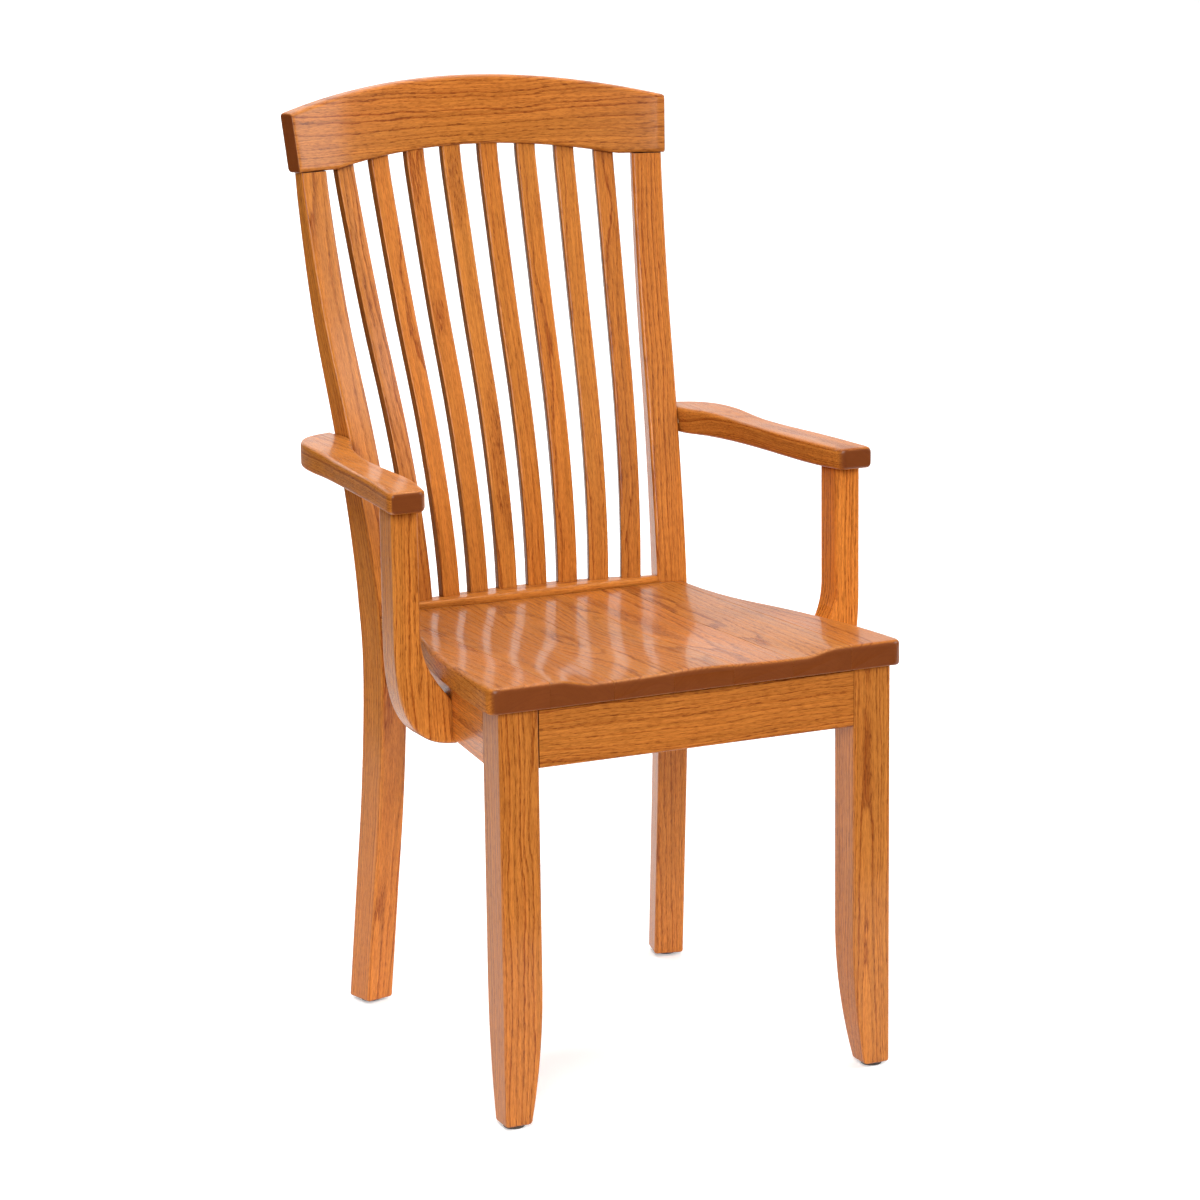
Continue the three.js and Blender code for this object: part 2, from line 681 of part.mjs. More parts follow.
const seatBlank = cut(
  seatShape(),
  ...withMirror(postSpace),
  ...withMirror(frontSeatScrew.hole()),
  ...withMirror(rearSeatScrew.hole()),
);
const clear = 20; // enough for a cutting shape to pass right through
const beyondSeat = SEAT_SIDE[0][1] + clear;
const boardEdges = [-beyondSeat, ...BOARD_JOINTS, beyondSeat];
for (let i = 0; i + 1 < boardEdges.length; i++) {
  const strip = block(
    boardEdges[i] + GAP / 2, boardEdges[i + 1] - GAP / 2,
    SEAT_FRONT - clear, SEAT_REAR + clear,
    SEAT_UNDERSIDE - clear, SEAT_UNDERSIDE + SEAT_THICKNESS + clear,
  );
  add(`seat_board_${i + 1}`, common(seatBlank, strip), oak);
}

// ---- Slats, lower rail and crest ----

function slatShape(index, grow = 0) {
  const footEnd = RAIL_TOP - SLAT_MORTISE - grow;
  const shareAtTop = slatShare(index, FAN_HEAD);
  const headEnd = crestBottom(shareAtTop * onPost(FAN_HEAD, 0, 0).x) + SLAT_MORTISE + grow;
  const half = SLAT_WIDTH / 2 + grow;
  const thick = SLAT_THICKNESS / 2 + grow;
  return loft(evenly(footEnd, headEnd, 9).map((height) => {
    const { centre, along, through } = onFan(slatShare(index, height), height);
    const section = roundedRectangle(-half, half, -thick, thick, SLAT_EDGE_RADIUS, 1);
    return section.map(([a, b]) => new THREE.Vector3(
      centre.x + along.x * a + through.x * b,
      centre.y + along.y * a + through.y * b,
      height,
    ));
  }));
}

const slatNumbers = Array.from({ length: SLAT_COUNT }, (_, i) => i);
const slatSpaces = slatNumbers.map((index) => slatShape(index, GAP));
for (const index of slatNumbers) {
  add(`slat_${index + 1}`, slatShape(index), oak);
}

function railShape() {
  const reach = POST_X - 5;
  const shares = evenly(1, -1, 12);
  const back = shares.map((side) => {
    const share = (side * reach) / POST_X;
    const { centre } = onFan(share, RAIL_TOP);
    return [side * reach, centre.y + RAIL_BEHIND_SLATS];
  });
  const plan = [[-reach, SEAT_REAR], [reach, SEAT_REAR], ...back];
  return plate(plan, RAIL_TOP - RAIL_HEIGHT, RAIL_TOP);
}

add("lower_back_rail", cut(
  join(cut(railShape(), ...withMirror(postSpace)), ...withMirror(railTenon(0))),
  ...slatSpaces,
), oak);

function crestShape() {
  const stations = evenly(-1, 1, 20);
  return loft(stations.map((station) => {
    const [low, high] = [0, 1].map((edge) => {
      const x = station * mix(CREST_HALF_WIDTH.bottom, CREST_HALF_WIDTH.top, edge);
      return edge ? crestTop(x) : crestBottom(x);
    });
    const half = CREST_THICKNESS / 2;
    const section = roundedRectangle(-half, half, low, high, CREST_EDGE_RADIUS, 1);
    return section.map(([through, height]) => {
      const up = (height - POST_TOP) / CREST_END_HEIGHT;
      const reach = mix(CREST_HALF_WIDTH.bottom, CREST_HALF_WIDTH.top, Math.min(up, 1));
      return onCrest(station * reach, height, through);
    });
  }));
}

add("crest_rail", cut(crestShape(), ...slatSpaces, ...withMirror(headTenon(GAP))), oak);

// ---- Arms and their supports ----

const armOuter = curveThrough(ARM_OUTER);
const armInner = curveThrough(ARM_INNER);
const armTop = curveThrough(ARM_TOP);

function armShape() {
  const corner = ARM_CORNER.map(([behind]) => ARM_FRONT + behind);
  const depths = [...corner, 175, 210, 250, 290, 330, 365, 395, 420, 436, 450, 462, 469, ARM_END];
  return loft(depths.map((y, i) => {
    const inset = i < ARM_CORNER.length ? ARM_CORNER[i][1] : 0;
    const nose = Math.max(0, 3 - i) * ARM_NOSE;
    const section = roundedRectangle(
      armInner(y) + inset, armOuter(y) - inset / 2,
      ARM_UNDERSIDE + nose, armTop(y) - nose,
      i === 0 ? ARM_FRONT_EDGE_RADIUS : ARM_EDGE_RADIUS,
    );
    return section.map(([x, z]) => new THREE.Vector3(x, y, z));
  }));
}

const supportMiddle = (SUPPORT_INNER + SUPPORT_OUTER) / 2;
const supportTenon = (grow) => {
  const { width, depth, height } = SUPPORT_TENON;
  const middle = SUPPORT_FRONT + SUPPORT_DEPTH / 2;
  return block(
    supportMiddle - width / 2, supportMiddle + width / 2, middle - depth / 2, middle + depth / 2,
    ARM_UNDERSIDE - TENON_ROOT, ARM_UNDERSIDE + height, grow,
  );
};

addPair("arm", cut(
  armShape(),
  postSpace,
  supportTenon(GAP),
  ...armDowels.map((dowel) => dowel.hole()),
), oak);

// Seen from the front: straight down from the arm, then a sweep in under the seat to the side apron.
function supportShape() {
  const hidden = onSide(SUPPORT_FRONT, 0)[0] - APRON_THICKNESS / 2;
  const [innerStart, ...innerSweep] = SUPPORT_INNER_SWEEP;
  const [outerStart, ...outerSweep] = SUPPORT_OUTER_SWEEP;
  const innerFoot = innerSweep.at(-1);
  const outline = new THREE.Shape();
  outline.moveTo(SUPPORT_INNER, ARM_UNDERSIDE - GAP);
  outline.lineTo(...innerStart);
  outline.bezierCurveTo(...innerSweep.flat());
  outline.lineTo(hidden, innerFoot[1]);
  outline.lineTo(hidden, SUPPORT_FOOT);
  outline.lineTo(...outerStart);
  outline.bezierCurveTo(...outerSweep.flat());
  outline.lineTo(SUPPORT_OUTER, ARM_UNDERSIDE - GAP);
  const geometry = new THREE.ExtrudeGeometry(outline, {
    depth: SUPPORT_DEPTH,
    bevelEnabled: false,
    curveSegments: 10,
  });
  return geometry.rotateX(Math.PI / 2).translate(0, SUPPORT_FRONT + SUPPORT_DEPTH, 0);
}

const apronSpace = plate(
  sideApronPlan(SUPPORT_FRONT - clear, SUPPORT_FRONT + SUPPORT_DEPTH + clear, -GAP, APRON_THICKNESS + GAP),
  SUPPORT_FOOT - clear,
  apronTop,
);
addPair("arm_support", cut(
  join(supportShape(), supportTenon(0)),
  apronSpace,
  ...supportScrews.map((screw) => screw.hole()),
), oak);

// ---- Fastenings and feet ----

frontLag.addPair("leg_lag_screw_front", zincSteel);
rearLag.addPair("leg_lag_screw_rear", zincSteel);
frontSeatScrew.addPair("seat_screw_front", zincSteel);
rearSeatScrew.addPair("seat_screw_rear", zincSteel);
supportScrews.forEach((screw, i) => screw.addPair(`arm_support_screw_${i + 1}`, zincSteel));
armDowels.forEach((dowel, i) => dowel.addPair(`arm_dowel_${i + 1}`, blockWood));
frontGlide.addPair("glide_front", nylon);
rearGlide.addPair("glide_rear", nylon);

// ---- The origin: on the floor, in the middle of the chair's box ----

const bounds = new THREE.Box3().setFromObject(chair, true);
chair.position.y = -(bounds.min.y + bounds.max.y) / 2;

const armchair = new THREE.Group();
armchair.add(chair);

export default armchair;
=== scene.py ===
# %% [markdown]
# # A slat-back oak armchair
# This lesson dresses a finished chair design in oak. The design arrives as a frame of plain solids, one for
# each stick and board. Every stick that shows is cut again here with a smoother skin and softened edges, in
# exactly the same place. Then it gets its wood, its lacquer and its light.

# %% Load the frame
import math
import random

import bmesh
import bpy
import numpy as np
from mathutils import Matrix, Vector


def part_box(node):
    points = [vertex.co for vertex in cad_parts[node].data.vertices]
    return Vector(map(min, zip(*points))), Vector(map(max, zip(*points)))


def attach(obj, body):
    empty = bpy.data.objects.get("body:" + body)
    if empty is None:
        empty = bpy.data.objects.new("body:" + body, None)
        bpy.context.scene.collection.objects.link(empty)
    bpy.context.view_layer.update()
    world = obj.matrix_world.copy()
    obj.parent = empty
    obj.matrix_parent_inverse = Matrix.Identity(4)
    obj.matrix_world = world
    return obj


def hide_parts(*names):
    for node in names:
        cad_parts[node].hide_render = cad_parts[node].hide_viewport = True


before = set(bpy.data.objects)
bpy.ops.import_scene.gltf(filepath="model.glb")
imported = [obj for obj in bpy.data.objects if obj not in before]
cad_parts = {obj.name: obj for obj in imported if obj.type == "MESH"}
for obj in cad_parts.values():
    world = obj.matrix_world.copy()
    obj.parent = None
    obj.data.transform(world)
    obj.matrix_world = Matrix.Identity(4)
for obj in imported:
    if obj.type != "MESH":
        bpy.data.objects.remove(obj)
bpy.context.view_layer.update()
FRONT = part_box("front_leg_right")[0].y
MM = 0.001
SIDES = (("right", 1), ("left", -1))


def stand(name, data):
    """A new object, put in the scene."""
    thing = bpy.data.objects.new(name, data)
    bpy.context.scene.collection.objects.link(thing)
    return thing


def quarter_turns(steps):
    return [i / steps * math.pi / 2 for i in range(steps + 1)]


print("depths are measured from the front of the legs, at y =", round(FRONT, 4))

# %% [markdown]
# ## The camera
# A chair is best shown from a little above the seat and from one side, so that the saddle, the arms and the
# sweep of the back all read. A long lens from over three metres keeps the legs nearly parallel, and a small
# lens shift puts the chair in the middle of the frame.

# %% Camera
CAMERA_PLACE = (-1.5888, -3.125, 1.2828)
CAMERA_YAW = 0.429
CAMERA_PITCH = -0.205
CAMERA_ROLL = -0.016
LENS = 108.15
LENS_SHIFT = (0.0393, -0.0253)


def make_camera():
    data = bpy.data.cameras.new("camera")
    data.lens = LENS
    data.sensor_width = 36
    data.shift_x, data.shift_y = LENS_SHIFT
    camera = stand("camera", data)
    level = math.cos(CAMERA_PITCH)
    aim = Vector((math.sin(CAMERA_YAW) * level, math.cos(CAMERA_YAW) * level, math.sin(CAMERA_PITCH)))
    right = aim.cross(Vector((0, 0, 1))).normalized()
    above = right.cross(aim)
    cos, sin = math.cos(CAMERA_ROLL), math.sin(CAMERA_ROLL)
    across = right * cos + above * sin
    upward = above * cos - right * sin
    turn = Matrix((across, upward, -aim)).transposed().to_4x4()
    x, depth, z = CAMERA_PLACE
    camera.matrix_world = Matrix.Translation((x, FRONT + depth, z)) @ turn
    return camera


camera = make_camera()
bpy.context.scene.camera = camera
print("camera at", [round(v, 3) for v in camera.location])

# %% [markdown]
# ## The light
# A lacquered chair needs large, soft light: small lamps would draw hard white spots on every rounded edge.
# The chair stands on a sheet of pale paper that sweeps up behind it, and the room on the camera's side is
# dim. So the faces turned to the front show the wood's own colour, while the seat and the faces turned
# away mirror the bright paper. Broad panels hang at both sides and overhead, and one
# more lights the paper behind the chair.

# %% Paper and room
def plain_surface(name, colour, glow):
    material = bpy.data.materials.new(name)
    material.use_nodes = True
    shader = material.node_tree.nodes["Principled BSDF"]
    shader.inputs["Base Color"].default_value = (*colour, 1)
    shader.inputs["Roughness"].default_value = 0.8
    shader.inputs["Specular IOR Level"].default_value = 0.1
    shader.inputs["Emission Color"].default_value = (1, 1, 1, 1)
    shader.inputs["Emission Strength"].default_value = glow
    return material


def make_sweep(front, bend_start, radius, height, sides, material):
    """A sheet that lies on the floor, bends up in a quarter circle behind the chair and ends upright."""
    profile = [(front, 0.0)]
    profile += [(bend_start + radius * math.sin(t), radius * (1 - math.cos(t))) for t in quarter_turns(16)]
    profile.append((bend_start + radius, height))
    points = [(x, y, z) for y, z in profile for x in sides]
    mesh = bpy.data.meshes.new("sweep")
    mesh.from_pydata(points, [], [(i, i + 1, i + 3, i + 2) for i in range(0, len(points) - 2, 2)])
    mesh.shade_smooth()
    mesh.materials.append(material)
    sheet = stand("paper_sweep", mesh)
    return sheet


SEEN_GLOW = 15.0  # added where the camera looks straight into the room


def make_room(front, back):
    """A dim world, a little brighter behind the chair and above. Looked at directly it is pale grey."""
    world = bpy.data.worlds.new("room")
    bpy.context.scene.world = world
    world.use_nodes = True
    tree = world.node_tree
    spread = tree.nodes.new("ShaderNodeSeparateXYZ")
    tree.links.new(tree.nodes.new("ShaderNodeTexCoord").outputs["Generated"], spread.inputs[0])
    depth = tree.nodes.new("ShaderNodeMapRange")
    above = tree.nodes.new("ShaderNodeMapRange")
    for node, axis, low, high, limits in ((depth, "Y", front, back, (-0.5, 0.4)),
                                          (above, "Z", 0.35, 1.0, (-0.15, 0.6))):
        tree.links.new(spread.outputs[axis], node.inputs["Value"])
        node.inputs["From Min"].default_value, node.inputs["From Max"].default_value = limits
        node.inputs["To Min"].default_value, node.inputs["To Max"].default_value = low, high
    strength = tree.nodes.new("ShaderNodeMath")
    strength.operation = "MULTIPLY"
    tree.links.new(depth.outputs[0], strength.inputs[0])
    tree.links.new(above.outputs[0], strength.inputs[1])
    seen = tree.nodes.new("ShaderNodeMath")
    seen.operation = "MULTIPLY_ADD"
    tree.links.new(tree.nodes.new("ShaderNodeLightPath").outputs["Is Camera Ray"], seen.inputs[0])
    seen.inputs[1].default_value = SEEN_GLOW
    tree.links.new(strength.outputs[0], seen.inputs[2])
    tree.links.new(seen.outputs[0], tree.nodes["Background"].inputs["Strength"])


paper = make_sweep(-0.86, 4.0, 2.0, 5.0, (-1.1, 9.0), plain_surface("pale_paper", (0.93, 0.93, 0.93), 0.34))
make_room(0.5, 1.0)
print("stage:", paper.name)

# %% Lamps
def make_panel(name, place, aim_at, size, power):
    data = bpy.data.lights.new(name, "AREA")
    data.shape = "RECTANGLE"
    data.size, data.size_y = size
    data.energy = power
    lamp = stand(name, data)
    lamp.location = place
    lamp.rotation_euler = (Vector(aim_at) - Vector(place)).to_track_quat("-Z", "Y").to_euler()


make_panel("left_panel", (-1.7, -3.3, 2.4), (0, 0, 0.5), (2.2, 2.2), 162)
make_panel("right_panel", (3.4, -1.5, 2.2), (0, 0, 0.5), (1.8, 2.2), 90)
make_panel("top_panel", (0.0, 0.2, 3.2), (0, 0, 0), (3.0, 3.0), 75)
make_panel("paper_panel", (0.0, 2.6, 4.4), (0, 5.4, 1.2), (6.0, 1.0), 230)
bpy.context.scene.view_settings.view_transform = "Standard"

# %% [markdown]
# ## The chair's curves
# The drawing of the chair is in millimetres: x to the right, depth from the front of the legs, and height.
# The back posts bow backward along one smooth curve, and the slats, the rails and the arms all refer to it.
# Repeating those few curves here keeps every new skin in its drawn place.

# %% Curves of the drawing
def smooth_curve(knots):
    """A smooth curve through (place, value) pairs."""
    def slope(i):
        before, after = knots[max(i - 1, 0)], knots[min(i + 1, len(knots) - 1)]
        return (after[1] - before[1]) / (after[0] - before[0])

    def value(place):
        end = next((i for i, knot in enumerate(knots) if place <= knot[0]), len(knots) - 1)
        end = max(end, 1)
        (x0, y0), (x1, y1) = knots[end - 1], knots[end]
        t = (place - x0) / (x1 - x0)
        rise = t * t * (3 - 2 * t)
        leave = t * (1 - t) ** 2 * (x1 - x0) * slope(end - 1)
        arrive = t * t * (t - 1) * (x1 - x0) * slope(end)
        return y0 + (y1 - y0) * rise + leave + arrive

    return value


def mix(a, b, share):
    return a + (b - a) * share


def ease(value, low, high):
    t = min(max((value - low) / (high - low), 0), 1)
    return t * t * (3 - 2 * t)


TWIST = math.radians(14.5)
OUTWARD = (math.cos(TWIST), -math.sin(TWIST))
BACKWARD = (math.sin(TWIST), math.cos(TWIST))
POST_X, POST_Y, POST_WIDTH, POST_TOP = 169.6, 399, 33.6, 916
post_bend = smooth_curve([(0, 37.7), (120, 21.5), (250, 4.3), (380, -4.8), (456, 0), (540, 16.7),
                          (640, 44.6), (760, 83.7), (880, 111.7), (960, 123.4)])


def post_depth(height):
    return float(np.interp(height, (0, 456, 919, 960), (36.2, 38, 15, 15)))


def on_post(out, back, height):
    """A point of the right post, measured from the middle of its front face."""
    behind = post_bend(height) + back
    x = POST_X + OUTWARD[0] * out + BACKWARD[0] * behind
    return (x, POST_Y + OUTWARD[1] * out + BACKWARD[1] * behind, height)


print("the posts lean back", round(post_bend(POST_TOP) - post_bend(456)), "mm above the seat")

# %% [markdown]
# ## How a stick becomes a mesh
# Nearly every piece of a chair is a rounded section carried along a line: a leg, a rail, a slat, even an arm.
# The section has a few close points on each rounded edge and one point just beside it, so that the flats
# stay flat in the light while the edge catches a fine gleam. Each point also keeps where it lies inside its
# own board, and that is what the wood follows later.

# %% Sections and stations
def rounded_section(left, right, low, high, radius, steps=4, hold=1.2):
    """A rectangle with rounded corners, anticlockwise: (across, through, how much of an edge it is)."""
    radius = max(min(radius, (right - left) / 2.2, (high - low) / 2.2), 0.05)
    hold_x = min(hold, (right - left - 2 * radius) / 3)
    hold_y = min(hold, (high - low - 2 * radius) / 3)
    corners = [(right - radius, high - radius), (left + radius, high - radius),
               (left + radius, low + radius), (right - radius, low + radius)]
    outline = []
    for quarter, (x, y) in enumerate(corners):
        turns = [(quarter + i / steps) * math.pi / 2 for i in range(steps + 1)]
        arc = [(x + radius * math.cos(t), y + radius * math.sin(t), 1.0) for t in turns]
        sideways, sign = quarter % 2 == 0, 1 if quarter < 2 else -1
        step_in = (0, -sign * hold_y) if sideways else (sign * hold_x, 0)
        step_out = (-sign * hold_x, 0) if sideways else (0, -sign * hold_y)
        first, last = arc[0], arc[-1]
        outline.append((first[0] + step_in[0], first[1] + step_in[1], 0.0))
        outline += arc
        outline.append((last[0] + step_out[0], last[1] + step_out[1], 0.0))
    return outline


def eased(start, end, step, round_start=0.0, round_end=0.0):
    """Stations along a piece, each with how far the section is drawn in to round the piece's ends."""
    turns = quarter_turns(4)
    rows = [(start + round_start * (1 - math.cos(t)), round_start * (1 - math.sin(t))) for t in turns]
    inner_start, inner_end = start + round_start, end - round_end
    count = max(2, round((inner_end - inner_start) / step))
    rows += [(float(s), 0.0) for s in np.linspace(inner_start, inner_end, count + 1)[1:-1]]
    rows += [(end - round_end * (1 - math.cos(t)), round_end * (1 - math.sin(t))) for t in reversed(turns)]
    kept = [rows[0]]
    for row in rows[1:]:
        if row[0] - kept[-1][0] > 0.02:
            kept.append(row)
    return kept


def rounding(distance, length, amount):
    """How far a rounded corner has drawn in, so far from its end."""
    if distance >= length:
        return 0.0
    return amount * (1 - math.sqrt(1 - (1 - distance / length) ** 2))


print("points in a section:", len(rounded_section(-10, 10, -5, 5, 2)))

# %% Skins
def keep(mesh, name, kind, values):
    attribute = mesh.attributes.new(name, kind, "POINT")
    field = "vector" if kind == "FLOAT_VECTOR" else "value"
    attribute.data.foreach_set(field, np.asarray(values, np.float32).ravel())


def face_out(mesh):
    shape = bmesh.new()
    shape.from_mesh(mesh)
    bmesh.ops.recalc_face_normals(shape, faces=shape.faces)
    shape.to_mesh(mesh)
    shape.free()


def skin(name, rings):
    """A closed mesh over a row of rings. Depths are moved to the frame and millimetres become metres."""
    count = len(rings[0])
    points = [(x * MM, FRONT + y * MM, z * MM) for ring in rings for x, y, z in ring]
    faces = []
    for row in range(len(rings) - 1):
        for i in range(count):
            a, b = row * count + i, row * count + (i + 1) % count
            faces.append((a, b, b + count, a + count))
    faces.append(tuple(range(count)))
    faces.append(tuple(range((len(rings) - 1) * count, len(rings) * count)))
    mesh = bpy.data.meshes.new(name)
    mesh.from_pydata(points, [], faces)
    face_out(mesh)
    mesh.shade_smooth()
    mesh.set_sharp_from_angle(angle=math.radians(38))
    for cap in mesh.polygons[-2:]:
        cap.use_smooth = False
    return mesh


def place_in_log(name, pith):
    """Where this board's own middle lies in the tree: far along it at random, and off its pith."""
    luck = random.Random(name)
    across, through = pith
    return (luck.uniform(0, 40), across * luck.uniform(0.85, 1.15), through * luck.uniform(0.85, 1.15))


def give_wood(mesh, name, inside, along, edge, pith, tone, fineness=1.0):
    """The attributes that the wood reads: place in the board, direction of growth, edge and tone.
    A fineness above 1 is a slow-grown tree, with its rings closer together."""
    log = place_in_log(name, pith)
    fine = fineness * MM
    keep(mesh, "grain", "FLOAT_VECTOR", [(a * MM + log[0], (b + log[1]) * fine, (c + log[2]) * fine)
                                         for a, b, c in inside])
    keep(mesh, "along", "FLOAT_VECTOR", along)
    keep(mesh, "edge", "FLOAT", edge)
    keep(mesh, "tone", "FLOAT", [tone + random.Random(name + "tone").uniform(-0.05, 0.05)] * len(edge))


def place_piece(name, mesh, nodes, material):
    piece = stand(name, mesh)
    mesh.materials.append(material)
    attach(piece, "root")
    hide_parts(*nodes)
    return piece


def dull_where(piece, amount, is_dull):
    """A thinner finish on the faces whose outward direction passes the test."""
    keep(piece.data, "dull", "FLOAT", [amount if is_dull(v.normal) else 0.0 for v in piece.data.vertices])


def stick(name, stations, section_at, place, pith=(18, 45), tone=0.5, fineness=1.0, side=1, board=None):
    """One stick of oak. board, when given, is (a function from a point to its place in a straight board, the
    board's direction); without it the grain runs along the stick and bends with it."""
    rings, inside, edges = [], [], []
    middles = []
    for station, inset in stations:
        outline = section_at(station, inset)
        ring = [place(a, b, station) for a, b, _ in outline]
        rings.append([(x * side, y, z) for x, y, z in ring])
        edges += [e for _, _, e in outline]
        middles.append(np.mean(ring, axis=0))
        if board:
            inside += [board[0](*point) for point in ring]
        else:
            length = sum(np.linalg.norm(b - a) for a, b in zip(middles, middles[1:]))
            inside += [(length, a, b) for a, b, _ in outline]
    if board:
        along = [(board[1][0] * side, board[1][1], board[1][2])] * len(edges)
    else:
        along = []
        for i in range(len(rings)):
            run = middles[min(i + 1, len(rings) - 1)] - middles[max(i - 1, 0)]
            run = run / np.linalg.norm(run)
            along += [(run[0] * side, run[1], run[2])] * len(rings[i])
    mesh = skin(name, rings)
    give_wood(mesh, name, inside, along, edges, pith, tone, fineness)
    piece = place_piece(name, mesh, [name], oak)
    return piece


# %% [markdown]
# ## Recipes for materials
# A material is written as a short recipe: one line for each step, with the steps named for what they do.
# These small helpers keep the lines short.

# %% Material helpers
class Steps:
    """A tree of nodes written as lines. A step's inputs are numbers or the outputs of other steps."""

    def step(self, kind, inputs=None, **settings):
        node = self.tree.nodes.new(kind)
        for key, value in settings.items():
            setattr(node, key, value)
        for key, value in (inputs or {}).items():
            self.feed(node.inputs[key], value)
        return node

    def feed(self, socket, value):
        if isinstance(value, bpy.types.NodeSocket):
            self.tree.links.new(value, socket)
        else:
            socket.default_value = value

    def maths(self, operation, *values):
        return self.step("ShaderNodeMath", dict(enumerate(values)), operation=operation).outputs[0]

    def add(self, a, b):
        return self.maths("ADD", a, b)

    def minus(self, a, b):
        return self.maths("SUBTRACT", a, b)

    def times(self, a, b):
        return self.maths("MULTIPLY", a, b)


class Recipe(Steps):
    """A material."""

    def __init__(self, name):
        self.material = bpy.data.materials.new(name)
        self.material.use_nodes = True
        self.tree = self.material.node_tree
        self.tree.nodes.clear()

    def read(self, attribute, output="Fac"):
        return self.step("ShaderNodeAttribute", attribute_name=attribute).outputs[output]

    def vectors(self, operation, *values):
        node = self.step("ShaderNodeVectorMath", dict(enumerate(values)), operation=operation)
        return node.outputs["Value" if operation in ("LENGTH", "DOT_PRODUCT") else "Vector"]

    def noise(self, where, stretch, detail=2.0, roughness=0.5, output="Fac"):
        place = self.vectors("MULTIPLY", where, stretch)
        inputs = {"Vector": place, "Scale": 1.0, "Detail": detail, "Roughness": roughness}
        return self.step("ShaderNodeTexNoise", inputs).outputs[output]

    def between(self, value, low, high, to_low=0.0, to_high=1.0):
        inputs = {"Value": value, "From Min": low, "From Max": high, "To Min": to_low, "To Max": to_high}
        return self.step("ShaderNodeMapRange", inputs, interpolation_type="SMOOTHSTEP").outputs[0]

    def profile(self, value, stops):
        """A value turned into another along a row of (place, value) stops."""
        node = self.step("ShaderNodeValToRGB", {"Fac": value})
        ramp = node.color_ramp
        while len(ramp.elements) < len(stops):
            ramp.elements.new(0.5)
        for element, (place, level) in zip(ramp.elements, stops):
            element.position = place
            element.color = (level, level, level, 1)
        return node.outputs["Color"]

    def blend(self, share, a, b, how="MIX"):
        node = self.step("ShaderNodeMix", data_type="RGBA", blend_type=how)
        for key, value in ((0, share), (6, a), (7, b)):
            self.feed(node.inputs[key], value)
        return node.outputs[2]

    def finish(self, surface):
        self.step("ShaderNodeOutputMaterial", {"Surface": surface.outputs[0]})
        return self.material


print("recipe helpers are ready")

# %% [markdown]
# ## Oak
# Oak is a ring-porous wood. Each year it starts with a row of wide pores, dark once it is finished, and ends
# with dense, paler wood. The recipe grows those rings around a wandering pith, in three dimensions, and the
# board is simply cut out of the tree. That is why the pattern is right on every face: long arches and lines
# on the sides, and short dark arcs on the ends. Fine fibres and fleck-like pores run with the length. The
# finish is a honey stain under clear lacquer, so the top gloss is separate from the wood.

# %% Oak recipe
RING_PITCH = 0.0038  # metres from one year to the next
GROWTH = [(0.0, 0.6), (0.05, 1.0), (0.18, 0.6), (0.4, 0.15), (0.92, 0.0), (1.0, 0.6)]  # pores through a year


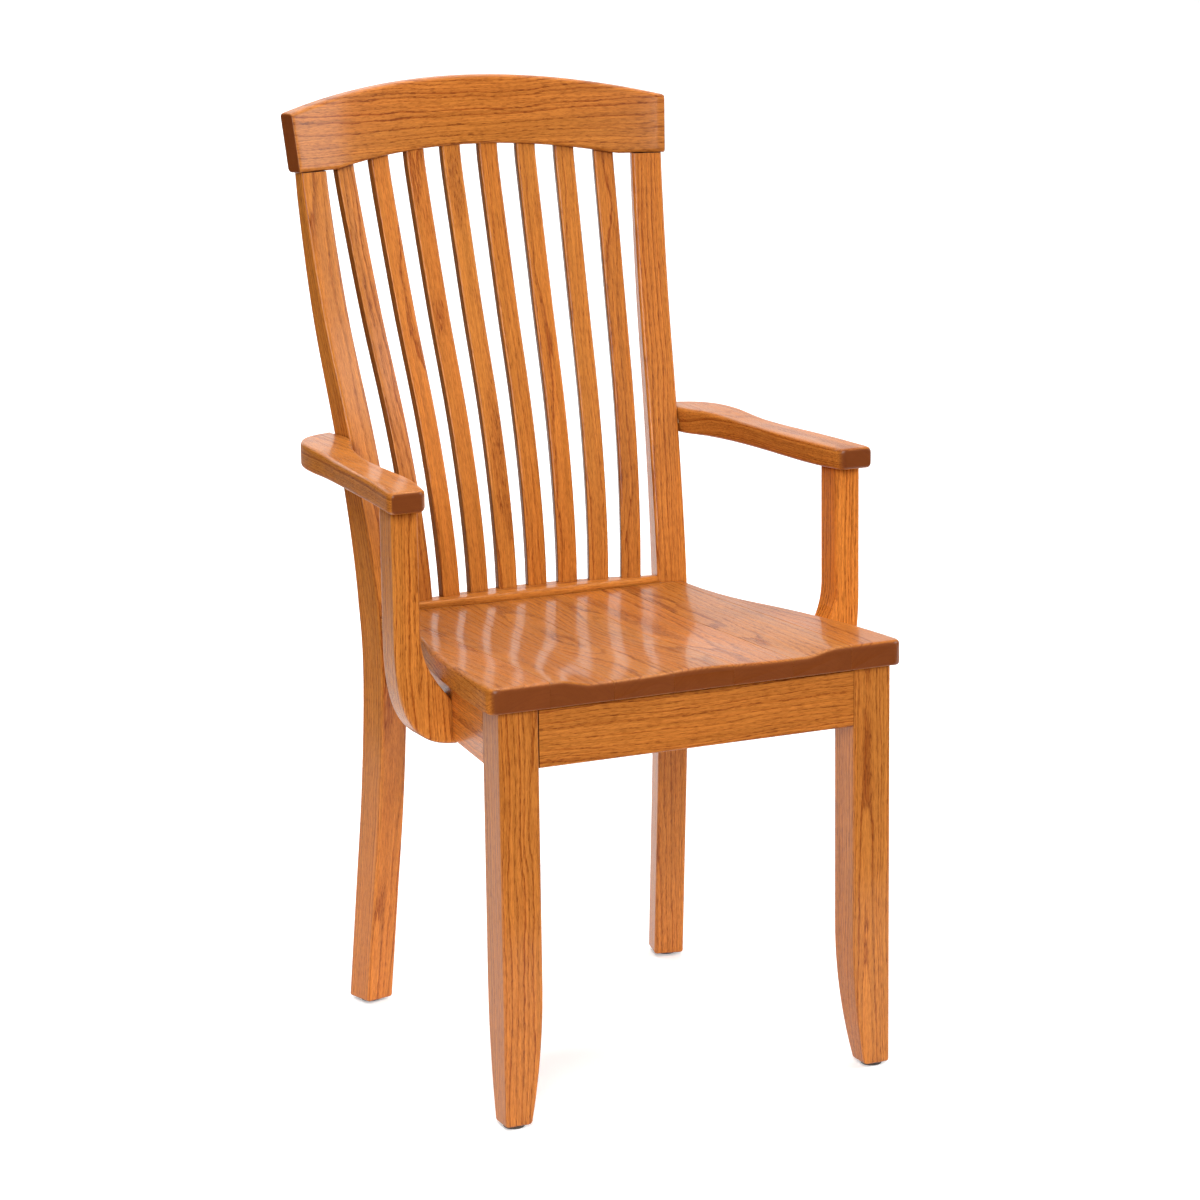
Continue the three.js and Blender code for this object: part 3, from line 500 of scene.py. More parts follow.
def wood_recipe(name, late, early, pore, stained, shine, reads_pieces=True):
    wood = Recipe(name)
    if reads_pieces:
        place, along = wood.read("grain", "Vector"), wood.read("along", "Vector")
        edge, tone, dull = wood.read("edge"), wood.read("tone"), wood.read("dull")
    else:
        own = wood.step("ShaderNodeTexCoord").outputs["Object"]
        place = wood.vectors("ADD", own, (0.0, 0.031, 0.058))
        along, edge, tone, dull = (1.0, 0.0, 0.0), 0.0, 0.5, 0.0

    # The pith wanders: slowly over a metre, a little over a hand's width, and raggedly from fibre to fibre.
    wandering = place
    for stretch, reach in (((1.9, 8, 8), 0.03), ((8, 22, 22), 0.009), ((30, 420, 420), 0.0022)):
        sway = wood.vectors("SUBTRACT", wood.noise(place, stretch, output="Color"), (0.5, 0.5, 0.5))
        wandering = wood.vectors("ADD", wandering, wood.vectors("MULTIPLY", sway, (0, reach, reach)))
    radius = wood.vectors("LENGTH", wood.vectors("MULTIPLY", wandering, (0, 1, 1)))

    # Years differ in width, and each is a sharp dark start fading into pale wood.
    uneven = wood.step("ShaderNodeTexNoise", {"W": wood.times(radius, 60.0), "Scale": 1.0},
                       noise_dimensions="1D").outputs["Fac"]
    years = wood.add(wood.times(radius, 1 / RING_PITCH), wood.times(uneven, 4.2))
    season = wood.maths("FRACT", years)
    growth = wood.profile(season, GROWTH)
    year = wood.step("ShaderNodeTexWhiteNoise", {"W": wood.maths("FLOOR", years)}, noise_dimensions="1D")
    spring = wood.times(growth, wood.between(year.outputs["Value"], 0.0, 1.0, 0.4, 1.15))

    fibre = wood.noise(place, (22, 1100, 1100), 3)
    strands = wood.noise(place, (5, 260, 260), 3, 0.6)
    fine = wood.between(wood.noise(place, (120, 2100, 2100), 1), 0.53, 0.66)
    coarse = wood.between(wood.noise(place, (100, 800, 800), 2, 0.6), 0.52, 0.64, 0.0, 0.9)
    flecks = wood.maths("MAXIMUM", fine, coarse)
    pores = wood.times(flecks, wood.between(spring, 0.0, 0.6, 0.45, 1.0))
    cloud = wood.noise(place, (1.6, 9, 9), 2)

    # Colour: pale late wood, brown early wood, darker pores, and clouds of warmer and lighter stain.
    rings = wood.times(spring, wood.between(strands, 0.3, 0.7, 0.5, 1.0))
    colour = wood.blend(rings, late, early)
    colour = wood.blend(wood.between(fibre, 0.3, 0.7, 0.0, 0.34), colour, early)
    colour = wood.blend(wood.times(pores, 0.8), colour, pore)
    warm = wood.blend(1.0, colour, (1.0, 0.83, 0.66, 1), "MULTIPLY")
    colour = wood.blend(wood.between(cloud, 0.3, 0.7, 0.0, 0.55), colour, warm)
    streak = wood.between(strands, 0.35, 0.65, 0.9, 1.08)
    # The tone sets how deep the colour is; on the slats it also carries the painted shade on their narrow
    # sides.
    depth = wood.maths("MAXIMUM", wood.maths("MULTIPLY_ADD", tone, 0.68, 0.6), 0.3)
    colour = wood.vectors("SCALE", colour)
    wood.feed(colour.node.inputs["Scale"], wood.times(streak, depth))

    # End grain drinks the stain and turns dark. The edges are painted a shade lighter in patches, partly as
    # edges worn by use and partly as a painted highlight along each edge.
    normal = wood.step("ShaderNodeNewGeometry").outputs["Normal"]
    facing = wood.maths("ABSOLUTE", wood.vectors("DOT_PRODUCT", normal, along))
    end = wood.between(facing, 0.45, 0.95)
    dark = wood.blend(0.85, wood.blend(1.0, colour, (0.5, 0.36, 0.3, 1), "MULTIPLY"), stained)
    colour = wood.blend(end, colour, dark)
    wear_and_highlight_patches = wood.noise(place, (30, 60, 60), 2)
    edge_wear_and_highlight = wood.times(edge, wood.between(wear_and_highlight_patches, 0.35, 0.7, 0.0, 0.22))
    pale = wood.blend(1.0, colour, (1.3, 1.34, 1.4, 1), "MULTIPLY")
    colour = wood.blend(edge_wear_and_highlight, colour, pale)

    # Painted shade: the colour is darkened where two pieces meet, in corners and under overhangs, by how
    # closed in each point is.
    openness_for_painted_shade = wood.step("ShaderNodeAmbientOcclusion", {"Distance": 0.007}, samples=6).outputs["AO"]
    painted_crevice_shade = wood.blend(1.0, colour, (0.34, 0.24, 0.18, 1), "MULTIPLY")
    colour = wood.blend(wood.between(openness_for_painted_shade, 0.1, 0.8, 0.85, 0.0), colour, painted_crevice_shade)

    ground = wood.add(wood.times(pores, -0.7), wood.times(rings, -0.3))
    height = wood.add(ground, wood.times(fibre, 0.25))
    bump = wood.step("ShaderNodeBump", {"Strength": 0.3, "Distance": 0.0003, "Height": height})
    gloss = wood.add(wood.between(strands, 0.3, 0.7, shine["low"], shine["high"]), wood.times(edge_wear_and_highlight, 0.15))
    lacquered = wood.minus(1.0, dull)
    surface = wood.step("ShaderNodeBsdfPrincipled", {
        "Base Color": colour, "Roughness": gloss, "Normal": bump.outputs[0],
        "Specular IOR Level": wood.times(lacquered, shine["body"]),
        "Coat Weight": wood.times(lacquered, shine["coat"]),
        "Coat Roughness": shine["coat_roughness"],
    })
    return wood.finish(surface)


oak = wood_recipe(
    "honey_oak",
    late=(0.62, 0.222, 0.038, 1), early=(0.29, 0.066, 0.007, 1), pore=(0.15, 0.031, 0.004, 1),
    stained=(0.165, 0.041, 0.009, 1),
    shine={"low": 0.36, "high": 0.48, "body": 0.1, "coat": 0.28, "coat_roughness": 0.13},
)
block_wood = wood_recipe(
    "block_wood",
    late=(0.62, 0.4, 0.19, 1), early=(0.4, 0.23, 0.1, 1), pore=(0.2, 0.11, 0.05, 1),
    stained=(0.42, 0.26, 0.13, 1),
    shine={"low": 0.6, "high": 0.75, "body": 0.4, "coat": 0.0, "coat_roughness": 0.5}, reads_pieces=False,
)
print("woods:", oak.name, block_wood.name)

# %% [markdown]
# ## The front legs
# A front leg is one straight square post. Only its foot is shaped: low down the two inner sides sweep
# in to a small foot, while the two outer sides stay straight. A rounded edge at the floor keeps the end
# grain from splitting.

# %% Front legs
LEG_SIDE, LEG_OUTSIDE, LEG_FOOT, TAPER_TOP = 42.8, 219.6, 28, 150


def leg_side(height):
    above = min(height / TAPER_TOP, 1)
    return LEG_SIDE - (LEG_SIDE - LEG_FOOT) * (1 - above) ** 2


def leg_section(height, inset):
    side = leg_side(height)
    left, right = LEG_OUTSIDE - side + inset, LEG_OUTSIDE - inset
    return rounded_section(left, right, inset, side - inset, 3 - inset / 3)


def upright(x, y, z):
    return (z, x - 198, y - 21)


for name, side, pith in (("right", 1, (4, 34)), ("left", -1, (22, 52))):
    stick(f"front_leg_{name}", eased(3.3, 429.7, 9, 3.2), leg_section, lambda a, b, z: (a, b, z),
          pith=pith, tone=0.41, fineness=1.1, side=side, board=(upright, (0, 0, 1)))
print("leg side at the floor and the seat:", round(leg_side(3), 1), leg_side(400))

# %% [markdown]
# ## The back posts
# Each back post is leg and back support in one. It is sawn from a wide board along a long S: out behind the
# seat at the floor, straight at the seat, then leaning back to the crest. It thins towards the top. The
# grain is drawn bending with the post, as on a steam-bent one.

# %% Back posts
def post_section(height, inset):
    half = POST_WIDTH / 2 - inset
    return rounded_section(-half, half, inset, post_depth(height) - inset, 3 - inset / 3)


for name, side, pith in (("right", 1, (30, 38)), ("left", -1, (-12, 44))):
    stick(f"back_post_{name}", eased(3.3, 915.7, 9, 3), post_section, on_post, pith=pith, tone=0.6,
          fineness=1.25, side=side)
print("post depth at seat and top:", post_depth(456), round(post_depth(POST_TOP), 1))

# %% [markdown]
# ## The aprons
# Four boards on edge join the legs under the seat with mortise and tenon joints. The side aprons run in
# towards the back, because the chair is wider at the knees. Their lower edges are eased so that they don't
# scratch the legs of whoever sits there.

# %% Aprons
APRON_LOW, APRON_HIGH, APRON_THICK = 370, 429.7, 20
SIDE_FRONT = (LEG_OUTSIDE - 1, LEG_SIDE + 0.3)
SIDE_SETBACK, SIDE_DEPTH = 7, 393
SIDE_BACK = (POST_X + OUTWARD[0] * POST_WIDTH / 2 - SIDE_SETBACK, SIDE_DEPTH)
side_slope = (SIDE_BACK[0] - SIDE_FRONT[0]) / (SIDE_BACK[1] - SIDE_FRONT[1])
side_run = Vector((side_slope, 1)).normalized()


def on_side(depth, inward):
    """A point so far in from the outer face of the right side apron."""
    return (SIDE_FRONT[0] + side_slope * (depth - SIDE_FRONT[1]) - inward / side_run.y, depth)


def apron_section(low_side, high_side, top=APRON_HIGH):
    return lambda station, inset: rounded_section(low_side, high_side, APRON_LOW, top, 1.6)


stick("front_apron", eased(-176.5, 176.5, 9), apron_section(1, 21), lambda a, b, x: (x, a, b),
      pith=(30, 40), tone=0.4, fineness=0.85)
stick("rear_apron", eased(-165, 165, 12), apron_section(403, 423, 424), lambda a, b, x: (x, a, b),
      pith=(40, 30), tone=0.45)
for name, side in SIDES:
    stick(f"side_apron_{name}", eased(43.1, 403, 9), apron_section(0, APRON_THICK),
          lambda a, b, y: (*on_side(y, a), b), pith=(24, 46), tone=0.95, side=side)
print("the side aprons run in by", round(SIDE_FRONT[0] - SIDE_BACK[0]), "mm")

# %% [markdown]
# ## The saddle seat
# The seat is seven boards glued edge to edge and then hollowed across all of them at once, so the surface
# runs on over the glue lines while the grain changes at each. A low ridge is left between the thighs at the
# front. The boards run front to back, so the front edge is all end grain and takes the stain darkest.

# %% Seat surface
SEAT_LOW, SEAT_THICK, SEAT_FRONT, SEAT_REAR = 430, 26.5, -5, 403
SEAT_DROP = 7.5  # how much lower the seat is at the back
SCOOP_FRONT, SCOOP_MIDDLE, SCOOP_REAR = 6.3, 9, 1.5
LIP_FRONT, LIP_REAR = 157, 178  # where the hollow starts, from the middle
FLOOR_FRONT, FLOOR_REAR = 118, 60  # where it reaches its floor
POMMEL_HEIGHT, POMMEL_WIDTH = 2.8, 48
SEAT_CORNER, SEAT_ROUND, GLUE_LINE, SEAT_REACH = 12, 5, 0.3, 235
JOINTS = [-250, -166, -97, -31, 36, 104, 171, 250]
seat_side = smooth_curve([(-5, 232), (72, 226.5), (150, 216.5), (205, 207.5), (277, 192), (340, 185),
                          (403, 183.5)])


def seat_top(x, y):
    depth = (y - SEAT_FRONT) / (SEAT_REAR - SEAT_FRONT)
    land = SEAT_LOW + SEAT_THICK - SEAT_DROP * ease(depth, 0, 1)
    if depth < 0.5:
        scoop = mix(SCOOP_FRONT, SCOOP_MIDDLE, ease(depth, 0, 0.5))
    else:
        scoop = mix(SCOOP_MIDDLE, SCOOP_REAR, ease(depth, 0.5, 1))
    lip = mix(LIP_FRONT, LIP_REAR, ease(depth, 0, 0.35))
    floor_edge = mix(FLOOR_FRONT, FLOOR_REAR, ease(depth, 0, 0.45))
    bowl = 1 - ease(abs(x), floor_edge, lip)
    pommel = POMMEL_HEIGHT * math.exp(-((x / POMMEL_WIDTH) ** 2)) * (1 - ease(depth, 0.05, 0.45))
    return land - scoop * bowl + pommel


def seat_half_width(y):
    from_front = min((y - SEAT_FRONT) / SEAT_CORNER, 1)
    return seat_side(y) - SEAT_CORNER * (1 - math.sqrt(1 - (1 - from_front) ** 2))


print("seat height at the middle:", round(seat_top(0, 200), 1), "mm")

# %% Seat boards
def board_outline(left, right, y, inset, radii):
    """A board's section from below left, round by the right, over the top and back: (x, z, edge)."""
    left_radius, right_radius = radii
    turns = quarter_turns(4)
    low = SEAT_LOW + 0.4 * inset
    outline = []
    for t in reversed(turns):
        r = 0.6 * right_radius
        outline.append((right - r + r * math.cos(t), low + r * (1 - math.sin(t)), 1.0))
    for t in turns:
        x = right - right_radius * (1 - math.cos(t))
        outline.append((x, seat_top(x, y) - inset - right_radius * (1 - math.sin(t)), 1.0))
    for x in np.linspace(right - right_radius - 1, left + left_radius + 1, 15):
        outline.append((float(x), seat_top(float(x), y) - inset, 0.0))
    for t in reversed(turns):
        x = left + left_radius * (1 - math.cos(t))
        outline.append((x, seat_top(x, y) - inset - left_radius * (1 - math.sin(t)), 1.0))
    for t in turns:
        r = 0.6 * left_radius
        outline.append((left + r - r * math.cos(t), low + r * (1 - math.sin(t)), 1.0))
    return outline


def seat_stations():
    """Close together round the front corners, where the plan and the edge both turn."""
    corner = [SEAT_CORNER * (1 - math.cos(i / 10 * math.pi / 2)) for i in range(10)]
    front = [(SEAT_FRONT + d, rounding(d, SEAT_ROUND, SEAT_ROUND)) for d in corner]
    return front + eased(SEAT_FRONT + SEAT_CORNER + 1, 402.7, 8, 0, 1.5)


def make_seat_board(number):
    joint_left, joint_right = JOINTS[number - 1] + GLUE_LINE / 2, JOINTS[number] - GLUE_LINE / 2
    middle = (max(joint_left, -SEAT_REACH) + min(joint_right, SEAT_REACH)) / 2
    radii = (SEAT_ROUND if number == 1 else 0.3, SEAT_ROUND if number == 7 else 0.3)

    def section_at(y, inset):
        half = seat_half_width(y)
        return board_outline(max(joint_left, -half), min(joint_right, half), y, inset, radii)

    def in_board(x, y, z):
        return (y, x - middle, z - 440)

    luck = random.Random(number)
    piece = stick(f"seat_board_{number}", seat_stations(), section_at,
                  lambda x, z, y: (x, y, z), pith=(luck.uniform(-30, 30), luck.uniform(38, 60)),
                  tone=0.38 + luck.uniform(-0.08, 0.08), board=(in_board, (0, 1, 0)))
    dull_where(piece, 0.85, lambda normal: abs(normal.x) > 0.6)


for number in range(1, 8):
    make_seat_board(number)
print("seat width at the front and back:", seat_side(SEAT_FRONT) * 2, seat_side(SEAT_REAR) * 2)

# %% [markdown]
# ## The lower rail
# A short curved rail stands behind the seat and holds the feet of the slats. The back of it follows the
# curve of the slats, and the seat is pushed up against its straight front. Its top edge is rounded where a
# hand or a cloth goes along it.

# %% Lower rail
RAIL_TOP, RAIL_HEIGHT, SLAT_COUNT = 455.5, 30, 8
FAN_FOOT, FAN_HEAD = 456, 919
SETBACK_FOOT, SETBACK_HEAD, STRAIGHTENING = 3.6, 15.3, 13.2
HOLLOW_FOOT, HOLLOW_HEAD = 30.9, 26.9
RAIL_BEHIND = 8  # how far the rail reaches behind the middle of the slats


def fan_middle(share, height):
    """How far back the slats' curved surface lies, a share of the way from the middle to a post."""
    up = (height - FAN_FOOT) / (FAN_HEAD - FAN_FOOT)
    inside = min(max(up, 0), 1)
    setback = mix(SETBACK_FOOT, SETBACK_HEAD, up) - STRAIGHTENING * 4 * inside * (1 - inside)
    return on_post(0, 0, height)[1] + setback + mix(HOLLOW_FOOT, HOLLOW_HEAD, up) * (1 - share * share)


def rail_section(x, inset):
    back = fan_middle(x / POST_X, RAIL_TOP) + RAIL_BEHIND
    return rounded_section(SEAT_REAR, back, RAIL_TOP - RAIL_HEIGHT, RAIL_TOP, 4)


stick("lower_back_rail", eased(-164.6, 164.6, 8), rail_section, lambda a, b, x: (x, a, b),
      pith=(26, 44), tone=0.5)
print("the rail is", round(fan_middle(0, RAIL_TOP) + RAIL_BEHIND - SEAT_REAR), "mm deep in the middle")

# %% [markdown]
# ## The slats
# Eight equal slats fan out between the rails. They follow one rule, so they are best made by rule: a single
# straight slat is drawn, copied eight times, spread by its number and bent onto the curved, leaning surface
# of the back. Change the count or the hollow, and the whole back changes with it.

# %% One straight slat
SLAT_LOW, SLAT_HIGH = 444, 934
SLAT_HALF_WIDTH, SLAT_HALF_THICK = 11.25, 5.5


def slat_blank():
    rings, inside, edges = [], [], []
    for height, _ in eased(SLAT_LOW, SLAT_HIGH, 9):
        outline = rounded_section(-SLAT_HALF_WIDTH, SLAT_HALF_WIDTH, -SLAT_HALF_THICK, SLAT_HALF_THICK, 2.2)
        rings.append([(a, b, height) for a, b, _ in outline])
        inside += [(height, a, b) for a, b, _ in outline]
        edges += [e for _, _, e in outline]
    mesh = skin("slats", rings)
    mesh.transform(Matrix.Translation((0, -FRONT, 0)))
    give_wood(mesh, "slat", inside, [(0, 0.2, 0.98)] * len(edges), edges, (9, 46), 0.0, fineness=1.1)
    # Painted shade: the narrow sides of each slat, which face its neighbours, are made darker through its
    # tone.
    painted_side_shade = [-0.75 if abs(a) > 11 else 0.0 for _, a, _ in inside]
    mesh.attributes["tone"].data.foreach_set("value", painted_side_shade)
    return mesh


slats = stand("slats", slat_blank())
print("straight slat:", len(slats.data.vertices), "points")

# %% The rule of the back
class Rule(Steps):
    """A small geometry recipe, with named inputs."""

    def __init__(self, name):
        self.tree = bpy.data.node_groups.new(name, "GeometryNodeTree")
        self.tree.interface.new_socket("Geometry", in_out="INPUT", socket_type="NodeSocketGeometry")
        self.tree.interface.new_socket("Geometry", in_out="OUTPUT", socket_type="NodeSocketGeometry")
        self.start = self.tree.nodes.new("NodeGroupInput")
        self.end = self.tree.nodes.new("NodeGroupOutput")
        self.sockets = {}

    def ask(self, name, kind="NodeSocketFloat"):
        socket = self.tree.interface.new_socket(name, in_out="INPUT", socket_type=kind)
        self.sockets[name] = socket.identifier
        return self.start.outputs[name]

    def mix(self, low, high, share):
        return self.add(low, self.times(self.minus(high, low), share))

    def read(self, name, kind="FLOAT"):
        return self.step("GeometryNodeInputNamedAttribute", {"Name": name}, data_type=kind).outputs[0]

    def store(self, geometry, name, value, kind="FLOAT", domain="POINT"):
        inputs = {"Geometry": geometry, "Name": name, "Value": value}
        return self.step("GeometryNodeStoreNamedAttribute", inputs, data_type=kind, domain=domain).outputs[0]

    def finish(self, geometry, material):
        done = self.step("GeometryNodeSetMaterial", {"Geometry": geometry, "Material": material})
        self.tree.links.new(done.outputs[0], self.end.inputs[0])
        return self

    def give(self, piece, values):
        modifier = piece.modifiers.new(self.tree.name, "NODES")
        modifier.node_group = self.tree
        for name, value in values.items():
            modifier[self.sockets[name]] = value


def bake(piece):
    """The rule's result kept as a plain mesh, and the rule taken off."""
    bpy.context.view_layer.update()
    result = piece.evaluated_get(bpy.context.evaluated_depsgraph_get())
    mesh = bpy.data.meshes.new_from_object(result)
    piece.modifiers.clear()
    piece.data = mesh


print("rules can be written")

# %% Spread and bend the slats
def bend_profile(rule, up):
    """The post's bend between the rails, as a curve from 0 to 1 in both directions."""
    heights = np.linspace(SLAT_LOW, SLAT_HIGH, 28)
    bends = [post_bend(h) * MM for h in heights]
    node = rule.step("ShaderNodeFloatCurve", {"Value": up})
    curve = node.mapping.curves[0]
    low, high = min(bends), max(bends)
    for i, bend in enumerate(bends):
        place = (i / (len(bends) - 1), (bend - low) / (high - low))
        if i in (0, len(bends) - 1):
            curve.points[0 if i == 0 else -1].location = place
        else:
            curve.points.new(*place)
    for point in curve.points:
        point.handle_type = "VECTOR"
    node.mapping.update()
    return rule.add(rule.times(node.outputs[0], high - low), low)


def slat_rule():
    rule = Rule("fan_of_slats")
    count = rule.ask("Slat count", "NodeSocketInt")
    pitch, hollow, setback = [(rule.ask(f"{what} at the foot"), rule.ask(f"{what} at the head"))
                              for what in ("Pitch", "Hollow", "Setback")]
    straightening = rule.ask("Straightening")
    seed = rule.ask("Seed", "NodeSocketInt")
    finish = rule.ask("Finish", "NodeSocketMaterial")

    one = rule.step("GeometryNodeGeometryToInstance", {0: rule.start.outputs["Geometry"]})
    many = rule.step("GeometryNodeDuplicateElements", {"Geometry": one.outputs[0], "Amount": count},
                     domain="INSTANCE")
    numbered = rule.store(many.outputs[0], "slat", many.outputs["Duplicate Index"], domain="INSTANCE")
    real = rule.step("GeometryNodeRealizeInstances", {"Geometry": numbered})

    slat = rule.read("slat")
    spot = rule.step("ShaderNodeSeparateXYZ", {0: rule.step("GeometryNodeInputPosition").outputs[0]})
    a, b, z = spot.outputs
    whole = rule.maths("DIVIDE", rule.minus(z, SLAT_LOW * MM), (SLAT_HIGH - SLAT_LOW) * MM)
    up = rule.maths("DIVIDE", rule.minus(z, FAN_FOOT * MM), (FAN_HEAD - FAN_FOOT) * MM)
    inside = rule.maths("MINIMUM", rule.maths("MAXIMUM", up, 0.0), 1.0)

    behind = bend_profile(rule, whole)
    post_x = rule.add(rule.times(behind, BACKWARD[0]), POST_X * MM)
    post_y = rule.add(rule.times(behind, BACKWARD[1]), POST_Y * MM + FRONT)

    middle = rule.times(rule.minus(count, 1.0), 0.5)
    share = rule.times(rule.minus(slat, middle), rule.mix(*pitch, up))
    hollow = rule.mix(*hollow, up)
    humped = rule.times(rule.times(inside, rule.minus(1.0, inside)), 4.0)
    setback = rule.minus(rule.mix(*setback, up), rule.times(humped, straightening))
    square = rule.times(share, share)
    centre_x = rule.times(share, post_x)
    centre_y = rule.add(rule.add(post_y, setback), rule.times(hollow, rule.minus(1.0, square)))
    slope = rule.maths("DIVIDE", rule.times(rule.times(hollow, share), -2.0), post_x)
    stretch = rule.maths("SQRT", rule.add(rule.times(slope, slope), 1.0))
    cos, sin = rule.maths("DIVIDE", 1.0, stretch), rule.maths("DIVIDE", slope, stretch)
    new_x = rule.add(centre_x, rule.minus(rule.times(cos, a), rule.times(sin, b)))
    new_y = rule.add(centre_y, rule.add(rule.times(sin, a), rule.times(cos, b)))
    bent = rule.step("ShaderNodeCombineXYZ", {0: new_x, 1: new_y, 2: z}).outputs[0]
    placed = rule.step("GeometryNodeSetPosition", {"Geometry": real.outputs[0], "Position": bent})

    # Each slat is its own piece of wood: its place in the log and its tone come from its number.
    own = rule.step("FunctionNodeRandomValue", {"Min": (0, -0.03, -0.008), "Max": (9, 0.03, 0.02),
                                                "ID": slat, "Seed": seed}, data_type="FLOAT_VECTOR")
    moved = rule.step("ShaderNodeVectorMath", {0: rule.read("grain", "FLOAT_VECTOR"), 1: own.outputs[0]},
                      operation="ADD")
    wood = rule.store(placed.outputs[0], "grain", moved.outputs[0], "FLOAT_VECTOR")
    shade = rule.step("FunctionNodeRandomValue", {2: 0.4, 3: 0.58, "ID": slat, "Seed": seed},
                      data_type="FLOAT").outputs[1]
    # The straight slat's own tone, the painted shade on its sides, is added to each slat's random tone.
    return rule.finish(rule.store(wood, "tone", rule.add(shade, rule.read("tone"))), finish)


slat_rule().give(slats, {
    "Slat count": SLAT_COUNT, "Pitch at the foot": 0.212, "Pitch at the head": 0.224,
    "Hollow at the foot": HOLLOW_FOOT * MM, "Hollow at the head": HOLLOW_HEAD * MM,
    "Setback at the foot": SETBACK_FOOT * MM, "Setback at the head": SETBACK_HEAD * MM,
    "Straightening": STRAIGHTENING * MM, "Seed": 5, "Finish": oak,
})
bake(slats)
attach(slats, "root")
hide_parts(*[f"slat_{i + 1}" for i in range(SLAT_COUNT)])
print("slats:", len(slats.data.vertices), "points, heights",
      [round(f(v.co.z for v in slats.data.vertices), 3) for f in (min, max)])

# %% [markdown]
# ## The crest rail
# The crest closes the back and takes the slats from above and the posts from below. It is a wide board bent
# to a hollow that fits the shoulders, with a low arch cut in its lower edge and a fuller arch on top. All
# its edges are rounded, because hands lift the chair by it.

# %% Crest rail
CREST_THICK, CREST_HOLLOW, CREST_RAKE = 20, 33, 0.17
CREST_LOW_HALF, CREST_HIGH_HALF, CREST_END = 222, 226.5, 63


def crest_edges(station):
    """Heights of the lower and upper edge at a station from -1 at the left end to 1 at the right."""
    low_x, high_x = station * CREST_LOW_HALF, station * CREST_HIGH_HALF
    low = POST_TOP + 17 * max(0, 1 - (low_x / 170) ** 2)
    return low, POST_TOP + CREST_END + 29 * (1 - (high_x / CREST_HIGH_HALF) ** 2)


def crest_section(x, inset):
    low, high = crest_edges(x / CREST_HIGH_HALF)
    half = CREST_THICK / 2 - inset
    return rounded_section(-half, half, low + inset, high - inset, 4 - inset / 2)


def on_crest(through, height, station):
    reach = mix(CREST_LOW_HALF, CREST_HIGH_HALF, (height - POST_TOP) / CREST_END)
    x = station / CREST_HIGH_HALF * min(reach, CREST_HIGH_HALF)
    post = on_post(0, 0, POST_TOP)
    share = x / post[0]
    flush = post[1] + CREST_THICK / 2 + CREST_RAKE * (height - POST_TOP)
    slope = -2 * CREST_HOLLOW * share / post[0]
    cos = 1 / math.sqrt(1 + slope * slope)
    return (x - slope * cos * through, flush + CREST_HOLLOW * (1 - share * share) + cos * through, height)


stick("crest_rail", eased(-CREST_HIGH_HALF, CREST_HIGH_HALF, 7, 2, 2), crest_section, on_crest,
      pith=(44, 62), tone=0.44, fineness=0.7)
print("crest height at the middle:", [round(v) for v in crest_edges(0)])

# %% [markdown]
# ## The arms
# An arm is band-sawn from a plank to a long curve that widens at the elbow, then rounded over on all edges.
# At the back it passes outside the post, closes around it and is held by two dowels. Since the plank is
# straight, its lines run out on the curved sides and the end grain shows at the front.

# %% Arms
ARM_LOW, ARM_FRONT = 609.5, 134
ARM_CORNER, ARM_NOSE = (12, 8.5), (5, 3)  # each is how long a rounded part is and how far it draws in
ARM_HAIR = 0.25  # keeps the smooth outer side within the drawn one
arm_outer = smooth_curve([(134, 275.5), (190, 269.5), (250, 265), (310, 260.5), (360, 258), (400, 258),
                          (430, 255), (450, 248), (462, 237), (469, 224), (473, 211)])
arm_inner = smooth_curve([(134, 234.5), (190, 226), (250, 224), (310, 222.5), (360, 218), (400, 209.5),
                          (425, 199), (450, 197), (473, 203)])
arm_top = smooth_curve([(134, 632), (200, 633.5), (330, 633.5), (400, 637), (473, 638.5)])


def arm_section(y, inset):
    corner = rounding(y - ARM_FRONT, *ARM_CORNER)
    nose = rounding(y - ARM_FRONT, *ARM_NOSE)
    return rounded_section(arm_inner(y) + corner, arm_outer(y) - ARM_HAIR - corner / 2, ARM_LOW + nose,
                           arm_top(y) - nose, 5 - nose / 2, steps=5)


def arm_stations():
    front = [ARM_FRONT + ARM_CORNER[0] * (1 - math.cos(i / 8 * math.pi / 2)) for i in range(8)]
    middle = list(np.arange(147, 440, 7.5))
    return [(float(y), 0.0) for y in front + middle + [445, 450, 454, 458, 462, 466, 469, 471, 472.2, 473]]


def in_arm_plank(x, y, z):
    return (y, x - 240, z - 620)


for name, side, pith in (("right", 1, (10, 66)), ("left", -1, (-6, 72))):
    piece = stick(f"arm_{name}", arm_stations(), arm_section, lambda a, b, y: (a, y, b), pith=pith,
                  tone=0.52, fineness=1.5, side=side, board=(in_arm_plank, (0.0, 1.0, 0.0)))
    dull_where(piece, 0.9, lambda normal: abs(normal.x) > 0.8)
print("arm width at the front:", arm_outer(140) - arm_inner(140))

# %% [markdown]
# ## The arm supports
# Each support drops straight from the arm and then sweeps in under the seat to the side apron, where two
# screws hold it from inside. It is sawn from a straight board, so the grain stays upright while the outline
# curves through it, and an oval figure opens on the bend.

# %% Arm supports
SUPPORT_FRONT, SUPPORT_DEPTH, SUPPORT_TOP = 148.4, 35, 609.2
INNER_PATH = [(238.5, 485), (238.5, 448), (222, 430), (201, 405.5)]
OUTER_PATH = [(267, 476), (267, 405), (253, 365), (201, 365)]


def along_bezier(path, t):
    weights = ((1 - t) ** 3, 3 * t * (1 - t) ** 2, 3 * t * t * (1 - t), t ** 3)
    return Vector([sum(w * point[axis] for w, point in zip(weights, path)) for axis in (0, 1)])


